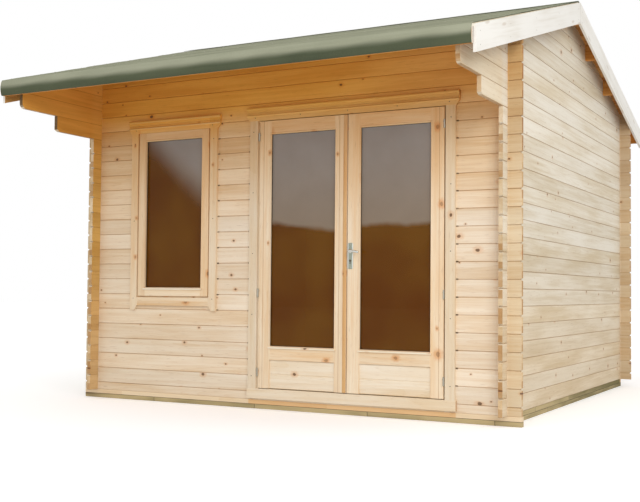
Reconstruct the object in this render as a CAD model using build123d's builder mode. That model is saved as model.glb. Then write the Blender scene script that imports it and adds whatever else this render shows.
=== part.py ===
"""Log cabin with a front canopy, double glazed doors and one tall window.

Millimetres, +Z up. The front faces -Y. The origin is on the ground, under the ridge,
midway between the two gables.
"""

from build123d import *
import math
import os

# Walls of interlocking logs
log_height = 116.0
log_thickness = 28.0
log_chamfer = 4.0
wall_width = 3360.0
wall_depth = 3420.0
corner_projection = 95.0
log_clip_length = 14.0
log_clip_height = 9.0
notch_clearance = 0.3

# Ground frame and floor
bearer_layer = 32.0
bearer_width = 45.0
bearer_chamfer = 1.5
joist_width = 44.0
joist_count = 5
joist_clearance = 0.3
floor_thickness = 18.0
floor_clearance = 0.3

# Roof
front_pitch = 16.9
rear_pitch = 15.3
canopy_overhang = 955.0
rear_overhang = 425.0
bargeboard_depth = 154.0
bargeboard_thickness = 18.0
bargeboard_drop = 8.0
bargeboard_setback = 29.0
felt_thickness = 3.0
roof_board_thickness = 18.0
fascia_thickness = 18.0
fascia_height = 111.0
purlin_step = 640.0
purlin_width = 44.0
purlin_depth = 118.0
ridge_purlin_width = 60.0
ridge_purlin_depth = 150.0
eave_beam_width = 44.0
eave_beam_depth = 83.0
eave_beam_setback = 58.0
roof_clearance = 0.3

# Canopy brackets, which are side logs that run on past the front wall
lower_bracket_reach = 511.0
bracket_course_count = 17
lower_nose_length = 27.0
lower_nose_height = 14.0
upper_nose_radius = 38.0
nose_step_count = 4

# Doorway and doors
middle_pier = 365.0
right_pier = 386.0
head_course_count = 17
jamb_thickness = 36.0
jamb_depth = 62.0
frame_rebate = 12.0
door_gap = 5.0
meeting_gap = 7.0
leaf_thickness = 40.0
leaf_proud = 8.0
leaf_bottom = 86.0
threshold_height = 70.0
stile_width = 92.0
top_rail_height = 94.0
middle_rail_height = 94.0
panel_height = 205.0
panel_thickness = 22.0
glass_thickness = 4.0
glazing_lap = 10.0
trim_thickness = 18.0
trim_width = 68.0
door_trim_setback = 8.0
threshold_overhang = 8.0
head_trim_height = 98.0
head_trim_overhang = 27.0
trim_clip_width = 21.0
trim_clip_height = 34.0
trim_groove_height = 54.0
trim_groove_width = 5.0
trim_groove_depth = 4.0

# Window
window_left = 385.0
window_width = 720.0
window_bottom = 703.0
window_trim_width = 62.0
window_trim_overlap = 25.0
window_head_overlap = 35.0
sash_width = 61.0
sash_thickness = 52.0
sash_proud = 16.0
window_tail = 36.0

# Door furniture
hinge_radius = 6.0
hinge_pin_radius = 4.0
hinge_pin_clearance = 0.05
hinge_half_length = 26.0
hinge_split = 0.4
hinge_shank_width = 5.0
hinge_shank_offset = 6.5
hinge_shank_depth = 22.0
hinge_shank_clearance = 0.2
hinge_heights = (200.0, 770.0, 1900.0)
plate_width = 42.0
plate_height = 180.0
plate_top_above_lever = 57.0
plate_thickness = 4.0
lever_height = 1063.0
lever_inset = 23.0
lever_radius = 8.0
lever_reach = 48.0
lever_length = 82.0
spindle_clearance = 0.3
cut_overshoot = 1.0

# Places that follow from the sizes above
front_slope = math.tan(math.radians(front_pitch))
rear_slope = math.tan(math.radians(rear_pitch))
upright_share = 1 / math.cos(math.radians(front_pitch))
roof_half_span = (canopy_overhang + wall_depth + rear_overhang) / 2
front_y = -roof_half_span + canopy_overhang
back_y = front_y + wall_depth
left_x = -wall_width / 2
right_x = wall_width / 2
sill_z = 2 * bearer_layer
log_end_left = left_x - corner_projection
log_end_right = right_x + corner_projection
wall_drop = felt_thickness + roof_board_thickness
fascia_back = roof_half_span - felt_thickness - fascia_thickness
bracket_base_z = sill_z + bracket_course_count * log_height
beam_base_z = bracket_base_z + 2 * log_height
beam_front = fascia_back - eave_beam_setback
beam_top_z = beam_base_z + eave_beam_depth + roof_clearance
ridge_height = beam_top_z + beam_front * front_slope + wall_drop * upright_share
opening_top = sill_z + (head_course_count + 0.5) * log_height
wall_middle_x = (left_x + right_x) / 2
window_right = window_left + window_width
doorway_left = window_right + middle_pier
doorway_right = wall_width - right_pier


def roof_z(y, drop):
    """Height of a surface a distance below the felt, on the front slope or the rear one."""
    slope = front_slope if y < 0 else rear_slope
    return ridge_height - abs(y) * slope - drop * upright_share


def save(part, name):
    """Label a finished piece and write it to its own file."""
    part.label = name
    export_step(part, f"parts/{name}.step")


def courses(bottom, top, first_joint, height):
    """Heights where the stacked boards or logs of a wall begin and end."""
    joints = [bottom]
    joint = first_joint
    while joint < top - 2 * log_chamfer:
        if joint > bottom + 2 * log_chamfer:
            joints.append(joint)
        joint += height
    joints.append(top)
    return joints


def stacked_outline(joints, thickness, chamfer):
    """Corner points of a stack of boards whose outer long edges are all chamfered."""
    outer = [(chamfer, joints[0])]
    for low, high in zip(joints, joints[1:]):
        outer += [(0, low + chamfer), (0, high - chamfer), (chamfer, high)]
    return [*outer, (thickness, joints[-1]), (thickness, joints[0])]


def outline_face(points):
    """Closed polygon, at its own place, in the sketch that is being built."""
    Polygon(*points, align=None)


def notch_heights(first, count):
    """Middles of the half-high notches, one log apart."""
    return [sill_z + (first + index) * log_height for index in range(count)]


def cut_notches(x_low, x_high, y_low, y_high, middles):
    """Cut the half-high notches of a corner out of the wall that is being built."""
    places = [((x_low + x_high) / 2, (y_low + y_high) / 2, middle) for middle in middles]
    with Locations(*places):
        Box(
            x_high - x_low + 2 * notch_clearance,
            y_high - y_low + 2 * notch_clearance,
            log_height / 2 + 2 * notch_clearance,
            mode=Mode.SUBTRACT,
        )


def clip_log_ends(plane, end, inward, joints):
    """Clip the corners of the log ends that meet at each joint of a wall's end."""
    with BuildSketch(plane) as clips:
        for joint in joints:
            outline_face(
                [
                    (end, joint - log_clip_height),
                    (end + inward * log_clip_length, joint),
                    (end, joint + log_clip_height),
                ]
            )
    extrude(clips.sketch, amount=log_thickness, both=True, mode=Mode.SUBTRACT)


def cut_under_roof():
    """Cut away everything above the underside of the roof boards."""
    reach = 2 * roof_half_span
    above = ridge_height + reach
    with BuildSketch(Plane.YZ) as outline:
        outline_face(
            [
                (-reach, roof_z(-reach, wall_drop)),
                (0, roof_z(0, wall_drop)),
                (reach, roof_z(reach, wall_drop)),
                (reach, above),
                (-reach, above),
            ]
        )
    extrude(outline.sketch, amount=wall_width, both=True, mode=Mode.SUBTRACT)


full_courses = int((ridge_height - sill_z) / log_height) + 1
crossing_front = (front_y, front_y + log_thickness)
crossing_back = (back_y - log_thickness, back_y)
crossing_left = (left_x, left_x + log_thickness)
crossing_right = (right_x - log_thickness, right_x)


def cross_wall(name, x_low, x_high, z_low, z_high, outer_y, facing):
    """A length of front or back wall: half a log at the bottom, then full logs.

    facing is 1 where the outer face looks to -Y and -1 where it looks to +Y.
    """
    joints = courses(z_low, z_high, sill_z + log_height / 2, log_height)
    points = stacked_outline(joints, log_thickness, log_chamfer)
    with BuildPart() as wall:
        with BuildSketch(Plane.YZ.offset(x_low)):
            outline_face([(outer_y + facing * y, z) for y, z in points])
        extrude(amount=x_high - x_low)
        middles = notch_heights(0.5, full_courses)
        y_low = min(outer_y, outer_y + facing * log_thickness)
        y_high = y_low + log_thickness
        reached = [z for z in middles if z_low - log_height < z < z_high + log_height]
        for crossing in (crossing_left, crossing_right):
            if x_low < crossing[1] and x_high > crossing[0]:
                cut_notches(*crossing, y_low - log_chamfer, y_high + log_chamfer, reached)
        if z_high > roof_z(outer_y, wall_drop) - log_height:
            cut_under_roof()
        across = Plane.XZ.offset(-outer_y)
        if x_low == log_end_left:
            clip_log_ends(across, x_low, 1, joints[1:])
        if x_high == log_end_right:
            clip_log_ends(across, x_high, -1, joints[1:])
    save(wall.part, name)


window_x = (left_x + window_left, left_x + window_right)
doorway_x = (left_x + doorway_left, left_x + doorway_right)


def build_cross_walls():
    """Front wall, split beside, under and over its openings, and the back wall."""
    cross_wall("front_wall_left", log_end_left, window_x[0], sill_z, opening_top, front_y, 1)
    cross_wall(
        "front_wall_below_window", *window_x, sill_z, sill_z + window_bottom, front_y, 1
    )
    cross_wall("front_wall_middle", window_x[1], doorway_x[0], sill_z, opening_top, front_y, 1)
    cross_wall("front_wall_right", doorway_x[1], log_end_right, sill_z, opening_top, front_y, 1)
    front_top = roof_z(front_y + log_thickness, 0)
    cross_wall("front_wall_top", log_end_left, log_end_right, opening_top, front_top, front_y, 1)
    back_top = roof_z(back_y - log_thickness, 0)
    cross_wall("back_wall", log_end_left, log_end_right, sill_z, back_top, back_y, -1)


def side_section(outer_x, facing, z_low, z_high):
    """Section of a side wall: full logs from the bottom up."""
    joints = courses(z_low, z_high, sill_z + log_height, log_height)
    points = stacked_outline(joints, log_thickness, log_chamfer)
    return [(outer_x + facing * x, z) for x, z in points]


def side_wall(name, outer_x, facing):
    """Side wall up to the canopy brackets."""
    crossing = crossing_left if facing > 0 else crossing_right
    y_low = front_y - corner_projection
    y_high = back_y + corner_projection
    with BuildPart() as wall:
        with BuildSketch(Plane.XZ.offset(-y_low)):
            outline_face(side_section(outer_x, facing, sill_z, bracket_base_z))
        extrude(amount=-(y_high - y_low))
        middles = notch_heights(0, bracket_course_count + 1)
        for span in (crossing_front, crossing_back):
            cut_notches(crossing[0] - log_chamfer, crossing[1] + log_chamfer, *span, middles)
        joints = courses(sill_z, bracket_base_z, sill_z + log_height, log_height)
        along = Plane.YZ.offset(outer_x)
        clip_log_ends(along, y_low, 1, joints[1:-1])
        clip_log_ends(along, y_high, -1, joints[1:])
    save(wall.part, name)


def rounded_nose(front, low):
    """Corner points of the upper bracket's rounded lower corner."""
    centre_y = front + upper_nose_radius
    centre_z = low + upper_nose_radius
    turns = [math.pi / 2 * step / nose_step_count for step in range(nose_step_count + 1)]
    return [
        (centre_y - upper_nose_radius * math.sin(turn), centre_z - upper_nose_radius * math.cos(turn))
        for turn in turns
    ]


def gable_outline():
    """Side view of a gable: two stepped canopy brackets in front, the roof line above."""
    upper_z = bracket_base_z + log_height
    lower_front = front_y - lower_bracket_reach
    upper_front = -beam_front
    back_end = back_y + corner_projection
    beam_back = upper_front + eave_beam_width + roof_clearance
    top = wall_drop + roof_clearance
    return [
        (front_y - corner_projection, bracket_base_z),
        (lower_front + lower_nose_length, bracket_base_z),
        (lower_front, bracket_base_z + lower_nose_height),
        (lower_front, upper_z),
        *rounded_nose(upper_front, upper_z),
        (upper_front, beam_base_z),
        (beam_back, beam_base_z),
        (beam_back, roof_z(beam_back, top)),
        (0, roof_z(0, top)),
        (back_end, roof_z(back_end, top)),
        (back_end, bracket_base_z),
    ]


purlin_places = [-2 * purlin_step, -purlin_step, purlin_step, 2 * purlin_step]


def purlin_section(y):
    """Section of a purlin: upright sides, and a top that follows the roof boards."""
    low = roof_z(y, wall_drop) - purlin_depth
    left, right = y - purlin_width / 2, y + purlin_width / 2
    return [
        (left, low),
        (right, low),
        (right, roof_z(right, wall_drop + roof_clearance)),
        (left, roof_z(left, wall_drop + roof_clearance)),
    ]


def ridge_section():
    """Section of the ridge purlin, with a top that follows both slopes."""
    half = ridge_purlin_width / 2
    low = roof_z(0, wall_drop) - ridge_purlin_depth
    return [
        (-half, low),
        (half, low),
        (half, roof_z(half, wall_drop + roof_clearance)),
        (0, roof_z(0, wall_drop + roof_clearance)),
        (-half, roof_z(-half, wall_drop + roof_clearance)),
    ]


def cut_pocket(y, width, depth):
    """Cut the pocket that a purlin rests in out of the gable that is being built."""
    low = roof_z(y, wall_drop) - depth - roof_clearance
    with Locations((wall_middle_x, y, (low + ridge_height) / 2)):
        Box(2 * wall_width, width + 2 * roof_clearance, ridge_height - low, mode=Mode.SUBTRACT)


def gable(name, outer_x, facing):
    """Gable logs above the side wall, with pockets for the purlins."""
    crossing = crossing_left if facing > 0 else crossing_right
    with BuildPart() as wall:
        with BuildSketch(Plane.XZ.offset(roof_half_span)):
            outline_face(side_section(outer_x, facing, bracket_base_z, ridge_height))
        extrude(amount=-2 * roof_half_span)
        with BuildSketch(Plane.YZ.offset(outer_x)):
            outline_face(gable_outline())
        extrude(amount=2 * log_thickness, both=True, mode=Mode.INTERSECT)
        middles = notch_heights(bracket_course_count, full_courses - bracket_course_count + 1)
        for span in (crossing_front, crossing_back):
            cut_notches(crossing[0] - log_chamfer, crossing[1] + log_chamfer, *span, middles)
        for y in purlin_places:
            cut_pocket(y, purlin_width, purlin_depth)
        cut_pocket(0, ridge_purlin_width, ridge_purlin_depth)
        back_end = back_y + corner_projection
        top = roof_z(back_end, wall_drop)
        joints = courses(bracket_base_z, top, bracket_base_z + log_height, log_height)
        clip_log_ends(Plane.YZ.offset(outer_x), back_end, -1, joints[:-1])
    save(wall.part, name)


def build_side_walls():
    """Both side walls and their gables."""
    side_wall("left_wall", left_x, 1)
    side_wall("right_wall", right_x, -1)
    gable("left_gable", left_x, 1)
    gable("right_gable", right_x, -1)


def long_piece(name, sections):
    """One solid for each section, all running between the two pairs of bargeboards."""
    with BuildPart() as piece:
        with BuildSketch(Plane.YZ.offset(log_end_left)):
            for section in sections:
                outline_face(section)
        extrude(amount=log_end_right - log_end_left)
    save(piece.part, name)


def slope_section(side, low_y, high_y, top_drop, bottom_drop):
    """Section of a sloping layer of the roof, side -1 in front and 1 behind."""
    near, far = side * low_y, side * high_y
    return [
        (near, roof_z(near, top_drop)),
        (far, roof_z(far, top_drop)),
        (far, roof_z(far, bottom_drop)),
        (near, roof_z(near, bottom_drop)),
    ]


def felt_section(side):
    """Felt on the boards, turned down over the fascia."""
    edge = side * roof_half_span
    back = side * (roof_half_span - felt_thickness)
    low = roof_z(edge, 0) - fascia_height
    return [
        (0, roof_z(0, 0)),
        (edge, roof_z(edge, 0)),
        (edge, low),
        (back, low),
        (back, roof_z(back, felt_thickness)),
        (0, roof_z(0, felt_thickness)),
    ]


def fascia_section(side):
    """Fascia board under the felt, at the eave."""
    front = side * (roof_half_span - felt_thickness)
    back = side * fascia_back
    low = roof_z(side * roof_half_span, 0) - fascia_height
    return [
        (front, roof_z(front, felt_thickness)),
        (front, low),
        (back, low),
        (back, roof_z(back, felt_thickness)),
    ]


def eave_beam_section():
    """Beam under the front edge of the roof, resting on the upper brackets."""
    front = -beam_front
    back = front + eave_beam_width
    return [
        (front, beam_base_z),
        (back, beam_base_z),
        (back, roof_z(back, wall_drop + roof_clearance)),
        (front, roof_z(front, wall_drop + roof_clearance)),
    ]


def build_roof():
    """Purlins, boards, felt, fascias and bargeboards."""
    board_end = roof_half_span - bargeboard_setback
    board_bottom = bargeboard_drop + bargeboard_depth
    long_piece("ridge_purlin", [ridge_section()])
    long_piece("purlins", [purlin_section(y) for y in purlin_places])
    long_piece("canopy_beam", [eave_beam_section()])
    for side, name in ((-1, "front"), (1, "back")):
        boards = slope_section(side, 0, fascia_back, felt_thickness, wall_drop)
        long_piece(f"{name}_roof_boards", [boards])
        long_piece(f"{name}_roof_felt", [felt_section(side)])
        with BuildPart() as boards:
            for x in (log_end_left - bargeboard_thickness, log_end_right):
                with BuildSketch(Plane.YZ.offset(x)):
                    outline_face(slope_section(side, 0, board_end, bargeboard_drop, board_bottom))
                extrude(amount=bargeboard_thickness)
        save(boards.part, f"{name}_bargeboards")
    long_piece("fascias", [fascia_section(-1), fascia_section(1)])


def build_base():
    """Bearers round the edge, joists between them and the floor on top."""
    front_inner = front_y + bearer_width
    back_inner = back_y - bearer_width
    battens = [0, bearer_layer, 2 * bearer_layer]
    section = stacked_outline(battens, bearer_width, bearer_chamfer)
    runs = ((front_y, 1, log_end_left, log_end_right), (back_y, -1, left_x, right_x))
    with BuildPart() as cross_bearers:
        for outer_y, facing, x_low, x_high in runs:
            with BuildSketch(Plane.YZ.offset(x_low)):
                outline_face([(outer_y + facing * y, z) for y, z in section])
            extrude(amount=x_high - x_low)
    save(cross_bearers.part, "cross_bearers")
    with BuildPart() as side_bearers:
        with BuildSketch(Plane.XZ.offset(-front_inner)):
            for outer_x, facing in ((left_x, 1), (right_x, -1)):
                outline_face([(outer_x + facing * x, z) for x, z in section])
        extrude(amount=front_inner - back_inner)
    save(side_bearers.part, "side_bearers")
    joist_length = back_inner - front_inner - 2 * joist_clearance
    clear_width = wall_width - 2 * bearer_width
    joist_spacing = clear_width / (joist_count + 1)
    with BuildPart() as joists:
        with BuildSketch(Plane.XY):
            with Locations((wall_middle_x, (front_inner + back_inner) / 2)):
                with GridLocations(joist_spacing, joist_length, joist_count, 1):
                    Rectangle(joist_width, joist_length)
        extrude(amount=sill_z)
    save(joists.part, "floor_joists")
    with BuildPart() as floor:
        with BuildSketch(Plane.XY.offset(sill_z)):
            with Locations((wall_middle_x, (front_y + back_y) / 2)):
                Rectangle(
                    wall_width - 2 * log_thickness - 2 * floor_clearance,
                    wall_depth - 2 * log_thickness - 2 * floor_clearance,
                )
        extrude(amount=floor_thickness)
    save(floor.part, "floor_boards")


def block(x_low, x_high, y_low, y_high, z_low, z_high, mode=Mode.ADD):
    """Square-edged timber between two corners, in the part that is being built."""
    with Locations(((x_low + x_high) / 2, (y_low + y_high) / 2, (z_low + z_high) / 2)):
        Box(x_high - x_low, y_high - y_low, z_high - z_low, mode=mode)


window_z = (sill_z + window_bottom, opening_top)
trim_front = front_y - trim_thickness
leaf_front = front_y - leaf_proud
leaf_back = leaf_front + leaf_thickness


def side_trim_outline(outer, way, low, high):
    """Front view of a window side trim; its tail is clipped on the side of the window."""
    inner = outer + way * window_trim_width
    return [
        (outer, low),
        (outer, high),
        (inner, high),
        (inner, low + trim_clip_height),
        (inner - way * trim_clip_width, low),
    ]


def head_trim(side_trims_x, low):
    """Head trim with clipped lower corners and a groove, in the part that is being built."""
    left = side_trims_x[0] - head_trim_overhang
    right = side_trims_x[1] + head_trim_overhang
    high = low + head_trim_height
    with BuildSketch(Plane.XZ.offset(-front_y)) as outline:
        outline_face(
            [
                (left + trim_clip_width, low),
                (left, low + trim_clip_height),
                (left, high),
                (right, high),
                (right, low + trim_clip_height),
                (right - trim_clip_width, low),
            ]
        )
    extrude(outline.sketch, amount=trim_thickness)
    groove_low = low + trim_groove_height
    block(
        left,
        right,
        trim_front,
        trim_front + trim_groove_depth,
        groove_low,
        groove_low + trim_groove_width,
        mode=Mode.SUBTRACT,
    )


def build_window():
    """Frame in the wall opening, sash, glass and the boards that cover the joint."""
    x_low, x_high = window_x
    z_low, z_high = window_z
    inner_x = (x_low + jamb_thickness, x_high - jamb_thickness)
    inner_z = (z_low + jamb_thickness, z_high - jamb_thickness)
    frame_back = front_y + jamb_depth
    gap = notch_clearance
    with BuildPart() as frame:
        block(x_low + gap, x_high - gap, front_y, frame_back, z_low + gap, z_high - gap)
        through_y = (front_y - cut_overshoot, frame_back + cut_overshoot)
        block(*inner_x, *through_y, *inner_z, mode=Mode.SUBTRACT)
    save(frame.part, "window_frame")

    sash_front = front_y - sash_proud
    sash_back = sash_front + sash_thickness
    light_x = (inner_x[0] + sash_width, inner_x[1] - sash_width)
    light_z = (inner_z[0] + sash_width, inner_z[1] - sash_width)
    pane_y = (sash_front + sash_thickness / 2, sash_front + sash_thickness / 2 + glass_thickness)
    pane_x = (light_x[0] - glazing_lap, light_x[1] + glazing_lap)
    pane_z = (light_z[0] - glazing_lap, light_z[1] + glazing_lap)
    with BuildPart() as sash:
        block(
            inner_x[0] + gap,
            inner_x[1] - gap,
            sash_front,
            sash_back,
            inner_z[0] + gap,
            inner_z[1] - gap,
        )
        through_y = (sash_front - cut_overshoot, sash_back + cut_overshoot)
        block(*light_x, *through_y, *light_z, mode=Mode.SUBTRACT)
        block(*pane_x, *pane_y, *pane_z, mode=Mode.SUBTRACT)
    save(sash.part, "window_sash")
    with BuildPart() as pane:
        block(*pane_x, *pane_y, *pane_z)
    save(pane.part, "window_glass")

    sill_high = z_low + window_trim_overlap
    sill_low = sill_high - window_trim_width
    sill_x = (x_low + window_trim_overlap, x_high - window_trim_overlap)
    cover_x = (sill_x[0] - window_trim_width, sill_x[1] + window_trim_width)
    head_low = z_high - window_head_overlap
    with BuildPart() as sides:
        with BuildSketch(Plane.XZ.offset(-front_y)):
            for outer, way in ((cover_x[0], 1), (cover_x[1], -1)):
                outline_face(side_trim_outline(outer, way, sill_low - window_tail, head_low))
        extrude(amount=trim_thickness)
    save(sides.part, "window_side_trims")
    with BuildPart() as cross_trims:
        head_trim(cover_x, head_low)
        block(*sill_x, trim_front, front_y, sill_low, sill_high)
    save(cross_trims.part, "window_cross_trims")


frame_inner_x = (doorway_x[0] + jamb_thickness, doorway_x[1] - jamb_thickness)
leaf_z = (sill_z + leaf_bottom, opening_top - frame_rebate - door_gap)
leaf_width = (frame_inner_x[1] - frame_inner_x[0] - 2 * door_gap - meeting_gap) / 2
left_leaf_x = (frame_inner_x[0] + door_gap, frame_inner_x[0] + door_gap + leaf_width)
right_leaf_x = (frame_inner_x[1] - door_gap - leaf_width, frame_inner_x[1] - door_gap)
stop_front = leaf_back + door_gap


hinge_y = leaf_front - hinge_radius - notch_clearance
hinge_x = {"left": left_leaf_x[0] - door_gap / 2, "right": right_leaf_x[1] + door_gap / 2}
pin_heights = [sill_z + z - hinge_half_length / 2 for z in hinge_heights]
socket_heights = [sill_z + z + hinge_half_length / 2 + hinge_split for z in hinge_heights]


def hinge_shanks(hand, side, face_y, heights, clearance=0.0, mode=Mode.ADD):
    """Square tails of one leaf's hinge halves; side is -1 or 1 for the way off the pin."""
    x = hinge_x[hand] + side * hinge_shank_offset
    length = face_y + hinge_shank_depth - hinge_y
    width = hinge_shank_width + 2 * clearance
    with Locations(*[(x, hinge_y + length / 2, z) for z in heights]):
        Box(width, length + 2 * clearance, width, mode=mode)


def build_door_frame():
    """Jambs, head and sill in the doorway, and the boards that cover the joint."""
    frame_back = front_y + jamb_depth
    x_low, x_high = doorway_x
    head_low = opening_top - frame_rebate
    gap = notch_clearance
    with BuildPart() as jambs:
        block(x_low + gap, frame_inner_x[0], front_y, frame_back, sill_z, head_low)
        block(
            frame_inner_x[0],
            frame_inner_x[0] + frame_rebate,
            stop_front,
            frame_back,
            sill_z + floor_thickness,
            head_low,
        )
        block(frame_inner_x[1], x_high - gap, front_y, frame_back, sill_z, head_low)
        block(
            frame_inner_x[1] - frame_rebate,
            frame_inner_x[1],
            stop_front,
            frame_back,
            sill_z + floor_thickness,
            head_low,
        )
        block(
            x_low,
            x_high,
            front_y + log_thickness,
            frame_back + cut_overshoot,
            sill_z - cut_overshoot,
            sill_z + floor_thickness + floor_clearance,
            mode=Mode.SUBTRACT,
        )
        for hand, side in (("left", -1), ("right", 1)):
            hinge_shanks(
                hand, side, front_y, pin_heights, hinge_shank_clearance, Mode.SUBTRACT
            )
    save(jambs.part, "door_jambs")
    with BuildPart() as head:
        block(x_low + gap, x_high - gap, front_y, frame_back, head_low, opening_top - gap)
    save(head.part, "door_head")
    inner = (frame_inner_x[0] - door_trim_setback, frame_inner_x[1] + door_trim_setback)
    outer = (inner[0] - trim_width, inner[1] + trim_width)
    head_trim_low = leaf_z[1] + door_gap
    threshold_top = leaf_z[0] - door_gap
    with BuildPart() as sides:
        block(outer[0], inner[0], trim_front, front_y, threshold_top, head_trim_low)
        block(inner[1], outer[1], trim_front, front_y, threshold_top, head_trim_low)
    save(sides.part, "door_side_trims")
    with BuildPart() as cover:
        head_trim(outer, head_trim_low)
    save(cover.part, "door_head_trim")
    with BuildPart() as threshold:
        block(
            outer[0] - threshold_overhang,
            outer[1] + threshold_overhang,
            trim_front,
            front_y,
            threshold_top - threshold_height,
            threshold_top,
        )
        block(*frame_inner_x, front_y, front_y + log_thickness, sill_z, threshold_top)
    save(threshold.part, "door_threshold")


lever_x = right_leaf_x[0] + lever_inset
lever_z = sill_z + lever_height
plate_top = lever_z + plate_top_above_lever
plate_z = (plate_top - plate_height, plate_top)


def build_leaf(hand, x_low, x_high):
    """One door leaf: stiles and rails, a boarded panel below and glass above."""
    inner_x = (x_low + stile_width, x_high - stile_width)
    panel_top = leaf_z[0] + panel_height
    light_z = (panel_top + middle_rail_height, leaf_z[1] - top_rail_height)
    middle_y = (leaf_front + leaf_back) / 2
    pane_y = (middle_y - glass_thickness / 2, middle_y + glass_thickness / 2)
    pane_x = (inner_x[0] - glazing_lap, inner_x[1] + glazing_lap)
    pane_z = (light_z[0] - glazing_lap, light_z[1] + glazing_lap)
    panel_y = (middle_y - panel_thickness / 2, middle_y + panel_thickness / 2)
    with BuildPart() as frame:
        block(x_low, x_high, leaf_front, leaf_back, *leaf_z)
        through_y = (leaf_front - cut_overshoot, leaf_back + cut_overshoot)
        block(*inner_x, *through_y, leaf_z[0] - cut_overshoot, panel_top, mode=Mode.SUBTRACT)
        block(*inner_x, *through_y, *light_z, mode=Mode.SUBTRACT)
        block(*pane_x, *pane_y, *pane_z, mode=Mode.SUBTRACT)
        side = 1 if hand == "left" else -1
        hinge_shanks(
            hand, side, leaf_front, socket_heights, hinge_shank_clearance, Mode.SUBTRACT
        )
        if hand == "right":
            with Locations(Plane((lever_x, leaf_front, lever_z), z_dir=(0, -1, 0))):
                Cylinder(lever_radius + spindle_clearance, 4 * leaf_thickness, mode=Mode.SUBTRACT)
    save(frame.part, f"{hand}_door_frame")
    joints = courses(leaf_z[0], panel_top, leaf_z[0] + panel_height / 2, panel_height / 2)
    points = stacked_outline(joints, panel_thickness, log_chamfer)
    with BuildPart() as panel:
        with BuildSketch(Plane.YZ.offset(inner_x[0] + notch_clearance)):
            outline_face([(panel_y[0] + y, z) for y, z in points])
        extrude(amount=inner_x[1] - inner_x[0] - 2 * notch_clearance)
    save(panel.part, f"{hand}_door_panel")
    with BuildPart() as pane:
        block(*pane_x, *pane_y, *pane_z)
    save(pane.part, f"{hand}_door_glass")


def build_hinges():
    """Lift-off hinges: a pin half screwed into each jamb, a socket half into each leaf."""
    with BuildPart() as lower:
        for hand, side in (("left", -1), ("right", 1)):
            x = hinge_x[hand]
            with Locations(*[(x, hinge_y, z) for z in pin_heights]):
                Cylinder(hinge_radius, hinge_half_length)
            with Locations(*[(x, hinge_y, z + hinge_half_length / 2) for z in pin_heights]):
                Cylinder(hinge_pin_radius, hinge_half_length)
            hinge_shanks(hand, side, front_y, pin_heights)
    save(lower.part, "hinge_pins")
    for hand, side in (("left", 1), ("right", -1)):
        with BuildPart() as upper:
            places = [(hinge_x[hand], hinge_y, z) for z in socket_heights]
            with Locations(*places):
                Cylinder(hinge_radius, hinge_half_length)
            hinge_shanks(hand, side, leaf_front, socket_heights)
            with Locations(*places):
                Cylinder(
                    hinge_pin_radius + hinge_pin_clearance,
                    hinge_half_length + 2 * hinge_split,
                    mode=Mode.SUBTRACT,
                )
        save(upper.part, f"{hand}_hinge_sockets")


def build_handle():
    """Lock plates on both faces of the right leaf and a lever on each side."""
    with BuildPart() as plates:
        for y_low in (leaf_front - plate_thickness, leaf_back):
            block(
                lever_x - plate_width / 2,
                lever_x + plate_width / 2,
                y_low,
                y_low + plate_thickness,
                *plate_z,
            )
        with Locations(Plane((lever_x, leaf_front, lever_z), z_dir=(0, -1, 0))):
            Cylinder(lever_radius + spindle_clearance, 4 * leaf_thickness, mode=Mode.SUBTRACT)
    save(plates.part, "lock_plates")
    outer_y = leaf_front - plate_thickness - lever_reach
    inner_y = leaf_back + plate_thickness + lever_reach
    with BuildPart() as lever:
        with Locations(Plane((lever_x, (outer_y + inner_y) / 2, lever_z), z_dir=(0, -1, 0))):
            Cylinder(lever_radius, inner_y - outer_y)
        for y in (outer_y, inner_y):
            with BuildLine() as grip:
                Line((lever_x, y, lever_z), (lever_x + lever_length, y, lever_z))
            with BuildSketch(grip.line ^ 0):
                Circle(lever_radius)
            sweep()
    save(lever.part, "door_lever")


os.makedirs("parts", exist_ok=True)
build_base()
build_cross_walls()
build_side_walls()
build_roof()
build_window()
build_door_frame()
build_leaf("left", *left_leaf_x)
build_leaf("right", *right_leaf_x)
build_hinges()
build_handle()
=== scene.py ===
# %% [markdown]
# # A garden log cabin
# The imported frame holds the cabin's true solids: interlocking logs, roof, doors and a
# window. This lesson dresses them. Wood, felt, glass and plated steel are made from
# nodes, and the small things that a joiner adds last are made as meshes.

from math import cos, radians, sin, tan

import bmesh
import bpy
import numpy as np
from mathutils import Matrix, Vector


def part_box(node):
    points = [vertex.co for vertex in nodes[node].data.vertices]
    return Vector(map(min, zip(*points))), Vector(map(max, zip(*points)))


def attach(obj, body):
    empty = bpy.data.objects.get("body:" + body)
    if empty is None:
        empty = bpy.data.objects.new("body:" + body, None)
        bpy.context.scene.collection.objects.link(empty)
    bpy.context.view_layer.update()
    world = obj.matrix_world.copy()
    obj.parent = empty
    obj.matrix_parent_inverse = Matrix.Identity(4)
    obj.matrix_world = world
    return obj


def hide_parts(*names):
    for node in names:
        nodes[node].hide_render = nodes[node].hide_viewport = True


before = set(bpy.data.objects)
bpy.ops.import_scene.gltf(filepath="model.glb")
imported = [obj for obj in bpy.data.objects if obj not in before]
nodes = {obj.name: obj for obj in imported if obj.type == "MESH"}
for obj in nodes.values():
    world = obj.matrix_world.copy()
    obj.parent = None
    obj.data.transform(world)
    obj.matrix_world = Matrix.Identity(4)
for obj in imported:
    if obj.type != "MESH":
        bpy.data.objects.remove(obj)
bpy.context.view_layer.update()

# %% [markdown]
# ## The camera
# The log joints are level lines of known spacing, so they fix where the camera stood:
# low, in front of the right-hand corner, looking slightly up. The picture is a crop of
# a larger frame, so its middle isn't the middle of the lens, and the lens is shifted a
# little to match. Lengths in the picture are in its pixels.

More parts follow.
